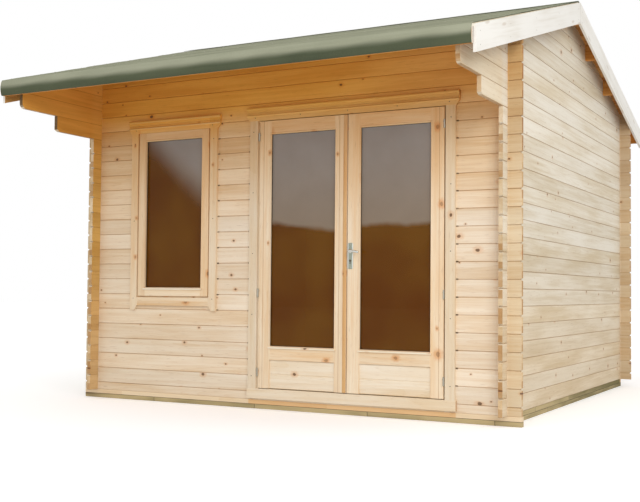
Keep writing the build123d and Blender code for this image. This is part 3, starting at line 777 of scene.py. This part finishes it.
dress(front_logs, "front_wall_left front_wall_below_window front_wall_middle")
dress(front_logs, "front_wall_right front_wall_top back_wall")
dress(side_logs, "left_wall right_wall left_gable right_gable")
dress(paint, "front_bargeboards back_bargeboards")
dress(cross_treated, "cross_bearers")
dress(side_treated, "side_bearers floor_joists")
dress(felt, "front_roof_felt back_roof_felt")
dress(roof_timber, "ridge_purlin purlins canopy_beam fascias")
dress(roof_underside, "front_roof_boards back_roof_boards")
dress(floor_wood, "floor_boards")
dress(level_joinery, "door_head door_head_trim door_threshold")
dress(level_joinery, "left_door_panel right_door_panel")
dress(upright_joinery, "door_jambs door_side_trims")
dress(left_leaf_wood, "left_door_frame")
dress(right_leaf_wood, "right_door_frame")
dress(sash_wood, "window_sash")
dress(window_frame_wood, "window_frame")
dress(window_trim_wood, "window_side_trims window_cross_trims")
dress(glass, "left_door_glass right_door_glass window_glass")
dress(steel, "lock_plates door_lever")
dress(zinc, "hinge_pins left_hinge_sockets right_hinge_sockets")
print("dressed", sum(len(node.material_slots) > 0 for node in nodes.values()), "solids")

# %% [markdown]
# ## Surfaces from arrays
# Every added piece is a grid of points: a profile carried along a path, computed as one
# array. `carry` makes the grid and `surface` turns it into a mesh. A moulding has two
# stations, a glazing bead has the four mitred corners of its opening, and a screw head
# has a ring of stations round its own axis.

# %% Surfaces from arrays
def carry(profile, stations, across, over):
    """Point = station + first profile value * across + second profile value * over."""
    profile = np.asarray(profile, float)
    given = (stations, across, over)
    stations, across, over = (np.atleast_2d(np.asarray(v, float)) for v in given)
    first = profile[..., 0:1] * across[:, None, :]
    second = profile[..., 1:2] * over[:, None, :]
    return stations[:, None, :] + first + second


def surface(name, grids, round_path=False, round_profile=True, capped=True):
    """One mesh from grids of points [piece, station, profile point, xyz].

    A cell joins its four corners; a round direction joins its last row to its first, and
    a cap closes each end of a tube. Normals are turned outwards shell by shell.
    """
    vertices, faces, start = [], [], 0
    for grid in grids:
        grid = np.asarray(grid, float)
        grid = grid[None] if grid.ndim == 3 else grid
        pieces, rows, columns = grid.shape[:3]
        index = start + np.arange(pieces * rows * columns).reshape(pieces, rows, columns)
        start += index.size
        ends = (index[:, 0], index[:, -1])
        if round_path:
            index = np.concatenate([index, index[:, :1]], axis=1)
        if round_profile:
            index = np.concatenate([index, index[:, :, :1]], axis=2)
        near, far = index[:, :-1], index[:, 1:]
        cell = [near[..., :-1], far[..., :-1], far[..., 1:], near[..., 1:]]
        faces += np.stack(cell, axis=-1).reshape(-1, 4).tolist()
        if capped and not round_path:
            faces += [row for end in ends for row in end.tolist()]
        vertices.append(grid.reshape(-1, 3))
    mesh = bpy.data.meshes.new(name)
    mesh.from_pydata(np.concatenate(vertices).tolist(), [], faces)
    shell = bmesh.new()
    shell.from_mesh(mesh)
    bmesh.ops.remove_doubles(shell, verts=shell.verts, dist=1e-6)
    bmesh.ops.dissolve_degenerate(shell, edges=shell.edges, dist=1e-7)
    bmesh.ops.recalc_face_normals(shell, faces=shell.faces)
    shell.to_mesh(mesh)
    shell.free()
    mesh.polygons.foreach_set("use_smooth", np.ones(len(mesh.polygons), bool))
    mesh.set_sharp_from_angle(angle=radians(32))
    return mesh


def add(name, grids, material, slot, body="cabin", stands_for=(), **options):
    """Put a surface in the scene, on its body, with its finish, and hide the solids that it
    stands for.
    """
    piece = bpy.data.objects.new(name, surface(name, grids, **options))
    piece.data.materials.append(material)
    bpy.context.scene.collection.objects.link(piece)
    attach(piece, body)
    if stands_for:
        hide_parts(*stands_for)
    return piece


def arc(radius, start, end, count, centre=(0.0, 0.0)):
    """Points on a circle: centre + radius * (cos, sin) of angles in degrees."""
    angle = np.radians(np.linspace(start, end, count))
    return np.asarray(centre) + radius * np.stack([np.cos(angle), np.sin(angle)], 1)


def at_places(grid, places):
    """A copy of one grid at each place: grid + place, for all at once."""
    return np.asarray(grid)[None] + np.asarray(places, float)[:, None, None, :]


FRONT = np.array([0.0, -1.0, 0.0])
UP = np.array([0.0, 0.0, 1.0])
RIGHT = np.array([1.0, 0.0, 0.0])
print("helpers ready")

# %% [markdown]
# ## Glazing beads, seals and weather bars
# A planted bead holds each pane: a small wooden moulding, mitred at the corners, that
# laps the frame by a few millimetres and slopes down to the glass. Between bead and pane
# sits a dark seal, and under each pane a small sloped bar throws the rain off. Bead and
# seal are one profile each, carried round the four corners of the clear opening, outside
# and inside; the bar is straight.

# %% Glazing beads
PANE_Y = -1.433
GLASS_LAP = 0.010
SEAL_PROFILE = [(-0.0035, 0.0025), (-0.0052, 0.0025), (-0.0048, 0.0110), (-0.0035, 0.0110)]
BAR_PROFILE = [
    (0.0, -0.001), (0.0, 0.003), (-0.004, 0.009), (-0.012, 0.009), (-0.012, -0.001)
]


def clear_opening(pane):
    """The clear opening of a frame: its pane's box less the lap in the groove."""
    low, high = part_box(pane)
    return np.array([[low.x, low.z], [high.x, high.z]]) + [[GLASS_LAP], [-GLASS_LAP]]


def round_opening(clear, profile, y, way):
    """A profile carried round a rectangle; each corner's diagonal is the mitre."""
    corner = np.array([[-1, -1], [1, -1], [1, 1], [-1, 1]], float)
    x, z = (clear.mean(0) + corner * (clear[1] - clear[0]) / 2).T
    stations = np.stack([x, np.full(4, y), z], axis=1)
    across = np.stack([corner[:, 0], np.zeros(4), corner[:, 1]], axis=1)
    return carry(profile, stations, across, np.tile(FRONT * way, (4, 1)))


def bead(clear, face_y, way):
    """Section of a bead: a rounded lap on the frame, then a slope down to the pane."""
    depth = abs(face_y - PANE_Y) - 0.002
    profile = [
        (0.008, 0.0), (0.0075, 0.0022), (0.005, 0.0040), (0.001, 0.0040),
        (-0.004, -0.004), (-0.004, -depth), (-0.0002, -depth), (-0.0002, 0.0),
    ]
    return round_opening(clear, profile, face_y, way)


def bar(clear, face_y):
    """A weather bar a little longer than the opening, just under its lower edge."""
    (x_low, z_low), (x_high, _) = clear
    ends = [(x, face_y, z_low - 0.0005) for x in (x_low - 0.008, x_high + 0.008)]
    return carry(BAR_PROFILE, ends, [UP] * 2, [FRONT] * 2)


glazed = {
    "left_door": ("left_door_frame", "left_door_glass", left_leaf_wood, "left_door"),
    "right_door": ("right_door_frame", "right_door_glass", right_leaf_wood, "right_door"),
    "window": ("window_sash", "window_glass", sash_wood, "cabin"),
}
for name, (holder, pane, material, body) in glazed.items():
    low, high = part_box(holder)
    clear = clear_opening(pane)
    rings = [bead(clear, low.y, 1.0), bead(clear, high.y, -1.0)]
    add(f"{name}_beads", rings, material, "pale_timber", body, round_path=True)
for name, (holder, pane, _, body) in glazed.items():
    clear = clear_opening(pane)
    seals = [round_opening(clear, SEAL_PROFILE, PANE_Y, way) for way in (1.0, -1.0)]
    add(f"{name}_seals", seals, rubber, "glass", body, round_path=True)
    bars = [bar(clear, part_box(holder)[0].y)]
    add(f"{name}_weather_bar", bars, weather_bar, "pale_timber", body)
print("glazing:", len(glazed), "panes with beads, seals and a weather bar each")

# %% [markdown]
# ## Mouldings on the doors and trims
# A thin half-round strip covers the gap where the two leaves meet, and the head trims
# have a small bead above their groove. Both are straight: two stations and a profile.

# %% Mouldings
STRIP_WIDTH, STRIP_HEIGHT, STRIP_INSET = 0.026, 0.006, 0.015
HEAD_BEADS = ((0.010, 0.018), (0.060, 0.012))


def half_round(width, height, count=9):
    """Profile of a flat strip whose face is an arc of the given width and height."""
    turn = np.linspace(0, np.pi, count)
    rise = 0.3 * height + 0.7 * height * np.sin(turn)
    return np.stack([np.cos(turn) * width / 2, rise], 1)


def moulding(profile, start, end, across, over=FRONT):
    """A profile carried from start to end, closed along its back and at both ends."""
    profile = np.concatenate([profile, [(profile[-1][0], 0.0), (profile[0][0], 0.0)]])
    return carry(profile, [start, end], [across] * 2, [over] * 2)


leaf_low, leaf_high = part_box("left_door_frame")
strip_x = leaf_high.x - STRIP_INSET
strip_ends = [(strip_x, leaf_low.y, z) for z in (leaf_low.z + 0.002, leaf_high.z - 0.002)]
strip = moulding(half_round(STRIP_WIDTH, STRIP_HEIGHT), *strip_ends, RIGHT)
add("meeting_strip", [strip], strip_wood_shaded, "pale_timber", "left_door")

head_beads = []
for node in ("door_head_trim", "window_cross_trims"):
    low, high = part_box(node)
    for drop, width in HEAD_BEADS:
        ends = [(x, low.y, high.z - drop) for x in (low.x + 0.001, high.x - 0.001)]
        head_beads.append(moulding(half_round(width, 0.008, 7), *ends, UP))
add("head_trim_beads", head_beads, level_joinery, "pale_timber")
print("mouldings: meeting strip and", len(head_beads), "head beads")

# %% [markdown]
# ## Screws and nails
# Trims and bargeboards are screwed, and felt is nailed with flat clout nails. All heads
# of a kind are one mesh: a small turned profile, copied to every place in one broadcast
# sum. A trim gets a screw at about every 0.4 m, and a bargeboard five pairs.

# %% Screws
SCREW_RADIUS, SCREW_RISE = 0.0036, 0.0008
TURNED = {"round_path": True, "round_profile": False, "capped": False}


def head_shape(radius, rise, over, across, count=10):
    """A low dome: profile (radius, height) turned round the axis `over`."""
    profile = [
        (0.0, rise), (radius * 0.6, rise * 0.8), (radius, 0.25 * rise), (radius, -0.001)
    ]
    turn = np.linspace(0, 2 * np.pi, count, endpoint=False)
    side = np.cross(over, across)
    around = np.cos(turn)[:, None] * across + np.sin(turn)[:, None] * side
    return carry(profile, np.zeros((count, 3)), around, np.tile(over, (count, 1)))


trim_screws = []
for node in ("door_side_trims", "window_side_trims"):
    low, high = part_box(node)
    count = round((high.z - low.z) / 0.42)
    for x in (low.x + 0.031, high.x - 0.031):
        ends = (x, low.y, low.z + 0.09), (x, low.y, high.z - 0.08)
        trim_screws.append(np.linspace(*ends, count))
for node in ("door_head_trim", "window_cross_trims"):
    low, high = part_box(node)
    count = round((high.x - low.x) / 0.36)
    ends = [(x, low.y, high.z - 0.075) for x in (low.x + 0.07, high.x - 0.07)]
    trim_screws.append(np.linspace(*ends, count))
places = np.concatenate(trim_screws)
trim_head = head_shape(0.0034, SCREW_RISE, FRONT, RIGHT)
add("trim_screws", [at_places(trim_head, places)], dark_iron, "plated_steel", **TURNED)
print("screws:", len(places), "in the trims")

reach = np.linspace(0.06, 2.30, 5)
for hand, way in (("right", 1.0), ("left", -1.0)):
    places = []
    for side, sign in (("front", -1.0), ("back", 1.0)):
        low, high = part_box(f"{side}_bargeboards")
        for drop in (0.045, 0.125):
            z = high.z - drop - reach * tan(PITCH[side])
            x = np.full(len(reach), way * high.x)
            places.append(np.stack([x, sign * reach, z], axis=1))
    screw = head_shape(SCREW_RADIUS, SCREW_RISE, way * RIGHT, UP)
    grid = at_places(screw, np.concatenate(places))
    add(f"{hand}_bargeboard_screws", [grid], zinc, "plated_steel", **TURNED)
print("screws:", 4 * len(reach), "in the bargeboards of each side")

# %% [markdown]
# ## Felt
# Roofing felt comes in rolls about a metre wide, laid from the eave upwards, each lapping
# the one below. At the eave it is folded down over the fascia, where it bellies out and
# tucks in again, so the fold's upper part catches the sky and its lower part doesn't; the
# felt's finish adds a painted shade on that lower part as well.
# A strip covers the ridge. Each sheet is one profile carried along the eave, 3 mm thick,
# with a waver of half a millimetre. Clout nails hold it above the laps and at the verges.

# %% Felt
FELT = 0.003
FOLD_POINTS, SLOPE_POINTS = 12, 90
SIDES = {"front": -1.0, "back": 1.0}


def felt_line(side):
    """Outer line of one slope's sheet from under the fold to the ridge, as (y, z).

    The fold is a half wave of 14 mm. On the slope the height is the straight line from
    eave to ridge plus a saw-tooth of 2.5 mm, one tooth for each lap.
    """
    low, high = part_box(f"{side}_roof_felt")
    reach = max(abs(low.y), abs(high.y))
    pitch = tan(PITCH[side])
    eave = high.z - reach * pitch
    rise = np.linspace(0, 1, FOLD_POINTS)
    belly = 0.014 * np.sin(np.pi * rise) ** 0.8
    fold_z = low.z - 0.002 + rise * (eave - low.z)
    fold = np.stack([reach + 0.0015 + belly, fold_z], axis=1)
    nose = np.array([[reach + 0.0005, eave + 0.0005], [reach - 0.0015, eave + 0.0018]])
    along = np.linspace(0.006, reach, SLOPE_POINTS)
    lap = 0.0025 * (1 - (along / 0.92) % 1.0) * (along > 0.91)
    slope = np.stack([reach - along, eave + 0.0015 + along * pitch + lap], axis=1)
    line = np.concatenate([fold, nose, slope])
    line[:, 0] *= SIDES[side]
    return line


def thick_sheet(x, outer, inner):
    """Closed loops of (y, z), outer line and then the inner one back, one for each x."""
    loop = np.concatenate([outer, inner[:, ::-1]], axis=1)
    x = np.broadcast_to(x[:, None, None], (*loop.shape[:2], 1))
    return np.concatenate([x, loop], axis=2)


def sheet_of(line, x_low, x_high, count=70):
    """The line carried along X; two sine waves along X and the line make the waver."""
    ahead = np.gradient(line, axis=0)
    ahead /= np.linalg.norm(ahead, axis=1)[:, None]
    normal = np.stack([-ahead[:, 1], ahead[:, 0]], axis=1) * np.sign(-line[0, 0])
    x = np.linspace(x_low, x_high, count)
    step = np.arange(len(line))
    waves = np.sin(x[:, None] * 7.1 + step * 0.35) + np.sin(x[:, None] * 17.3 - step * 0.6)
    outer = line[None] + normal[None] * (0.0004 * waves)[..., None]
    return thick_sheet(x, outer, outer - normal[None] * FELT)


for side in SIDES:
    low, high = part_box(f"{side}_roof_felt")
    sheet = sheet_of(felt_line(side), low.x - 0.003, high.x + 0.003)
    add(f"{side}_roof_felt_sheet", [sheet], felt, "felt", stands_for=(f"{side}_roof_felt",))
print("felt: two sheets of", sheet.shape[0], "by", sheet.shape[1], "points")

# %% Clout nails
NAIL_RADIUS, NAIL_RISE = 0.0055, 0.0012
LAP_NAILS, VERGE_NAILS = 24, 15
VERGE_X = 1.757


def clout_nails(side):
    """Flat-headed nails just above each lap and down both verges, on one slope."""
    line = felt_line(side)[-SLOPE_POINTS:]
    away, height = np.abs(line[::-1, 0]), line[::-1, 1]
    across, down = np.linspace(-1.70, 1.70, LAP_NAILS), np.linspace(0.22, 2.33, VERGE_NAILS)
    rows = [(across, np.full(LAP_NAILS, lap - 0.025)) for lap in LAPS]
    rows += [(np.full(VERGE_NAILS, x), down) for x in (-VERGE_X, VERGE_X)]
    x, y = (np.concatenate(values) for values in zip(*rows))
    z = np.interp(y, away, height) + 0.0006
    upright = np.array([0.0, SIDES[side] * sin(PITCH[side]), cos(PITCH[side])])
    nail = head_shape(NAIL_RADIUS, NAIL_RISE, upright, RIGHT, 8)
    return at_places(nail, np.stack([x, SIDES[side] * y, z], axis=1))


nails = [clout_nails(side) for side in SIDES]
add("clout_nails", nails, zinc, "plated_steel", **TURNED)
print("clout nails:", sum(len(grid) for grid in nails))

# %% Ridge cap
low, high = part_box("front_roof_felt")
cap_y = np.linspace(-0.17, 0.17, 25)
fall = np.where(cap_y < 0, tan(PITCH["front"]), tan(PITCH["back"]))
cap_z = high.z + 0.0085 - np.sqrt(cap_y ** 2 + 0.012 ** 2) * fall
x = np.linspace(low.x - 0.004, high.x + 0.004, 60)
waver = 0.0006 * np.sin(x[:, None] * 9.0 + cap_y[None] * 20.0)
outer = np.stack([np.broadcast_to(cap_y, waver.shape), cap_z + waver], axis=2)
add("ridge_cap", [thick_sheet(x, outer, outer - [0.0, FELT])], felt, "felt")
print("ridge cap ready")

# %% [markdown]
# ## Lock plates and lever
# The plates are pressed steel with round ends and soft edges: a rounded outline that
# shrinks as it rises. The lever is a bar whose middle line leaves the plate, turns with
# a round bend and droops a little towards its end. Both leaf faces have the same.

# %% Lock plates
PLATE_WIDTH, PLATE_CORNER, PLATE_THICK = 0.044, 0.013, 0.004
BOSS_WIDTH, BOSS_HEIGHT, BOSS_RISE, BOSS_DROP = 0.024, 0.042, 0.0055, 0.072
PLATE_SCREW_INSET = 0.012


def rounded_outline(width, height, radius, inset=0.0, count=8):
    """A rectangle with round corners, counter-clockwise, as (across, up) points."""
    radius = min(radius, width / 2 - 1e-4)
    middle = np.array([width / 2 - radius, height / 2 - radius])
    corners = []
    for number, way in enumerate(((1, 1), (-1, 1), (-1, -1), (1, -1))):
        centre = middle * way
        corners.append(arc(radius - inset, 90 * number, 90 * number + 90, count, centre))
    return np.concatenate(corners)


def plate(centre, width, height, radius, thickness, out, soft=0.0015):
    """Rings of a rounded outline: upright sides, then a soft edge up to a flat face."""
    bevel = 0.3 * soft
    levels = [(0, 0), (0, thickness - soft), (bevel, thickness - bevel), (soft, thickness)]
    rings = []
    for inset, depth in levels:
        outline = rounded_outline(width, height, radius, inset)
        rings.append(centre + carry(outline, depth * out, RIGHT, UP)[0])
    return np.stack(rings)


low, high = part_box("lock_plates")
lever_low, lever_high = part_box("door_lever")
lock_x, spindle_z = (low.x + high.x) / 2, (lever_low.z + lever_high.z) / 2
leaf_face = {1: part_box("right_door_frame")[0].y, -1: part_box("right_door_frame")[1].y}
plates, slots, plate_screws = [], [], []
for out_way, face_y in leaf_face.items():
    out = FRONT * out_way
    centre = np.array([lock_x, face_y, (low.z + high.z) / 2])
    height = high.z - low.z
    plates.append(plate(centre, PLATE_WIDTH, height, PLATE_CORNER, PLATE_THICK, out))
    boss = np.array([lock_x, face_y, spindle_z - BOSS_DROP])
    round_end = BOSS_WIDTH / 2
    plates.append(plate(boss, BOSS_WIDTH, BOSS_HEIGHT, round_end, BOSS_RISE, out, 0.0008))
    hole = boss + out * 0.0030
    slots.append(plate(hole + UP * 0.006, 0.0160, 0.0160, 0.0079, 0.0032, out, 0.0003))
    slots.append(plate(hole - UP * 0.008, 0.006, 0.018, 0.0028, 0.0030, out, 0.0003))
    screw = head_shape(SCREW_RADIUS, 0.0012, out, RIGHT)
    for z in (low.z + PLATE_SCREW_INSET, high.z - PLATE_SCREW_INSET):
        plate_screws.append(screw + [lock_x, face_y - PLATE_THICK * out_way, z])
add("lock_plate_pair", plates, plate_steel, "plated_steel", "right_door", ("lock_plates",))
add("keyholes", slots, dark_iron, "plated_steel", "right_door")
add("plate_screws", plate_screws, zinc, "plated_steel", "right_door", **TURNED)
print("lock plates:", len(plates) // 2, "with", len(plate_screws), "screws")

# %% Lever
def lever_path(
    face_y, out_way, reach=0.046, bend=0.015, length=0.082, droop=0.010, count=44
):
    """Middle line of one lever: straight out, a quarter circle, then a drooping arm.

    The arm's stations crowd together towards its tip, and it falls with the square of
    the distance along it.
    """
    straight = np.stack([np.zeros(6), np.linspace(0.0, reach - bend, 6)], axis=1)
    turn = arc(bend, 180, 90, 10, (bend, reach - bend))
    arm = bend + (length - bend) * (1 - np.linspace(1, 0, count - 16)[1:] ** 1.8)
    arm = np.stack([arm, np.full(len(arm), reach)], axis=1)
    run = np.concatenate([straight, turn, arm])
    fall = -droop * np.clip((run[:, 0] - bend) / (length - bend), 0, 1) ** 2
    x = lock_x + run[:, 0]
    return np.stack([x, face_y - out_way * run[:, 1], spindle_z + fall], axis=1)


def tube(path, radii, count=16):
    """An ellipse carried along a path; radii are (upright, sideways) at each station."""
    ahead = np.gradient(path, axis=0)
    ahead /= np.linalg.norm(ahead, axis=1)[:, None]
    side = np.cross(ahead, UP)
    side /= np.linalg.norm(side, axis=1)[:, None]
    upright = np.cross(side, ahead)
    turn = np.linspace(0, 2 * np.pi, count, endpoint=False)
    ring = np.stack([np.cos(turn), np.sin(turn)], axis=1)[None] * radii[:, None, ::-1]
    return path[:, None] + ring[..., :1] * side[:, None] + ring[..., 1:] * upright[:, None]


NECK, ARM = (0.0075, 0.0075), (0.0085, 0.0055)
TIP = 0.006
levers, collars = [], []
for out_way, face_y in leaf_face.items():
    path = lever_path(face_y - 0.003 * out_way, out_way)
    share = np.linspace(0, 1, len(path))[:, None]
    radii = np.where(share < 0.3, [NECK], [ARM])
    left = path[-1, :1] - path[:, :1]
    round_tip = np.sqrt(np.clip(1 - (1 - left / TIP) ** 2, 0.04, 1))
    levers.append(tube(path, radii * round_tip ** (left < TIP)))
    ring = head_shape(0.0145, 0.0070, FRONT * out_way, RIGHT, 24)
    collars.append(ring + [lock_x, face_y - 0.0035 * out_way, spindle_z])
through = [[lock_x, y, spindle_z] for y in (leaf_face[1] - 0.006, leaf_face[-1] + 0.006)]
levers.append(carry(arc(0.0040, 0, 315, 8), through, [RIGHT] * 2, [UP] * 2))
add("lever_pair", levers, steel, "plated_steel", "lever", ("door_lever",))
add("lever_collars", collars, steel, "plated_steel", "lever", **TURNED)
print("lever: two arms of", len(path), "stations on one spindle")

# %% [markdown]
# ## Hinge caps
# Each hinge is a pin half on the jamb and a socket half on the leaf. Small turned caps
# finish the two ends of the knuckle: the upper one rides on the leaf, the lower one on
# the cabin.

# %% Hinge caps
HINGE_HEIGHTS = (0.2640, 0.8340, 1.9640)
HALF_KNUCKLE = 0.0270
PIN_INSET, KNUCKLE_RADIUS = 0.0090, 0.006

pins_low, pins_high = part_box("hinge_pins")
for hand, x in (("left", pins_low.x + PIN_INSET), ("right", pins_high.x - PIN_INSET)):
    axis_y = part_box(f"{hand}_hinge_sockets")[0].y + KNUCKLE_RADIUS
    middles = np.array([[x, axis_y, z] for z in HINGE_HEIGHTS])
    for end, way, body in (("tops", UP, f"{hand}_door"), ("bottoms", -UP, "cabin")):
        cap = head_shape(KNUCKLE_RADIUS, 0.0040, way, RIGHT, 16)
        grid = at_places(cap, middles + way * HALF_KNUCKLE)
        add(f"{hand}_hinge_{end}", [grid], zinc, "plated_steel", body, **TURNED)
print("hinge caps:", 4 * len(HINGE_HEIGHTS))

# %% [markdown]
# ## Floor and light
# A plain pale floor and soft light from all round, a little stronger from the right, so
# that colours come out about as they are written. Light Path tells the rays that are seen
# from those that only light the cabin, so the background can be white by itself.

# %% Floor
WHITE, BLACK = (1.0, 1.0, 1.0, 1.0), (0.0, 0.0, 0.0, 1.0)
FLOOR_GREY, FLOOR_GLOW = (0.72, 0.71, 0.70, 1.0), (0.14, 0.14, 0.14, 1.0)


def seen_by(new):
    """1 for a ray that the camera, a gloss or clear glass sends out, and 0 for the rest."""
    rays = new.node("ShaderNodeLightPath", output="Is Camera Ray")
    return rays + rays.out("Is Glossy Ray") + rays.out("Is Transmission Ray") > 0.5


def plain_floor():
    """Matt floor that reads white where it is seen, and keeps the cabin's shadow."""
    material, new = finish_of("plain_floor")
    seen = seen_by(new)
    return finish(material, {
        "Base Color": seen.mix(FLOOR_GREY, WHITE),
        "Emission Color": seen.mix(BLACK, FLOOR_GLOW),
        "Emission Strength": 1.0,
        "Roughness": 0.9,
        "Specular IOR Level": 0.0,
    })


bpy.ops.mesh.primitive_plane_add(size=90.0, location=(0, 0, -0.0005))
floor = bpy.context.object
floor.name = "studio_floor"
floor.data.materials.append(plain_floor())
print("floor ready")

# %% Light
ROOM = 0.82

world = bpy.data.worlds.new("studio")
bpy.context.scene.world = world
world.use_nodes = True
seen = seen_by(Shade(world.node_tree))
background = world.node_tree.nodes["Background"]
background.inputs["Color"].default_value = WHITE
feed(background, "Strength", seen * (1 - ROOM) + ROOM)


def lamp(name, kind, energy, towards, place=(0.0, 0.0, 0.0), **settings):
    """A soft lamp that shines from the direction `towards` points to."""
    data = bpy.data.lights.new(name, kind)
    data.energy = energy
    for setting, value in settings.items():
        setattr(data, setting, value)
    made = bpy.data.objects.new(name, data)
    bpy.context.scene.collection.objects.link(made)
    turned = Vector(towards).to_track_quat("Z", "Y").to_matrix().to_4x4()
    made.matrix_world = Matrix.Translation(Vector(place)) @ turned


lamp("overhead", "SUN", 0.55, (0.25, -0.65, 0.75), angle=radians(80))
lamp("softbox", "AREA", 150.0, (4.9, -5.1, 2.8), (5.5, -6.5, 4.0), shape="DISK", size=4.0)
print("light ready: world at", ROOM, "and two lamps")

# %% [markdown]
# ## The size
# The felt's folds stand 16 mm proud of the solids at the eaves, and the ridge cap 6 mm at
# the top.

# %% Size
print("felt folds stand 16 mm proud at the eaves, ridge cap 6 mm")
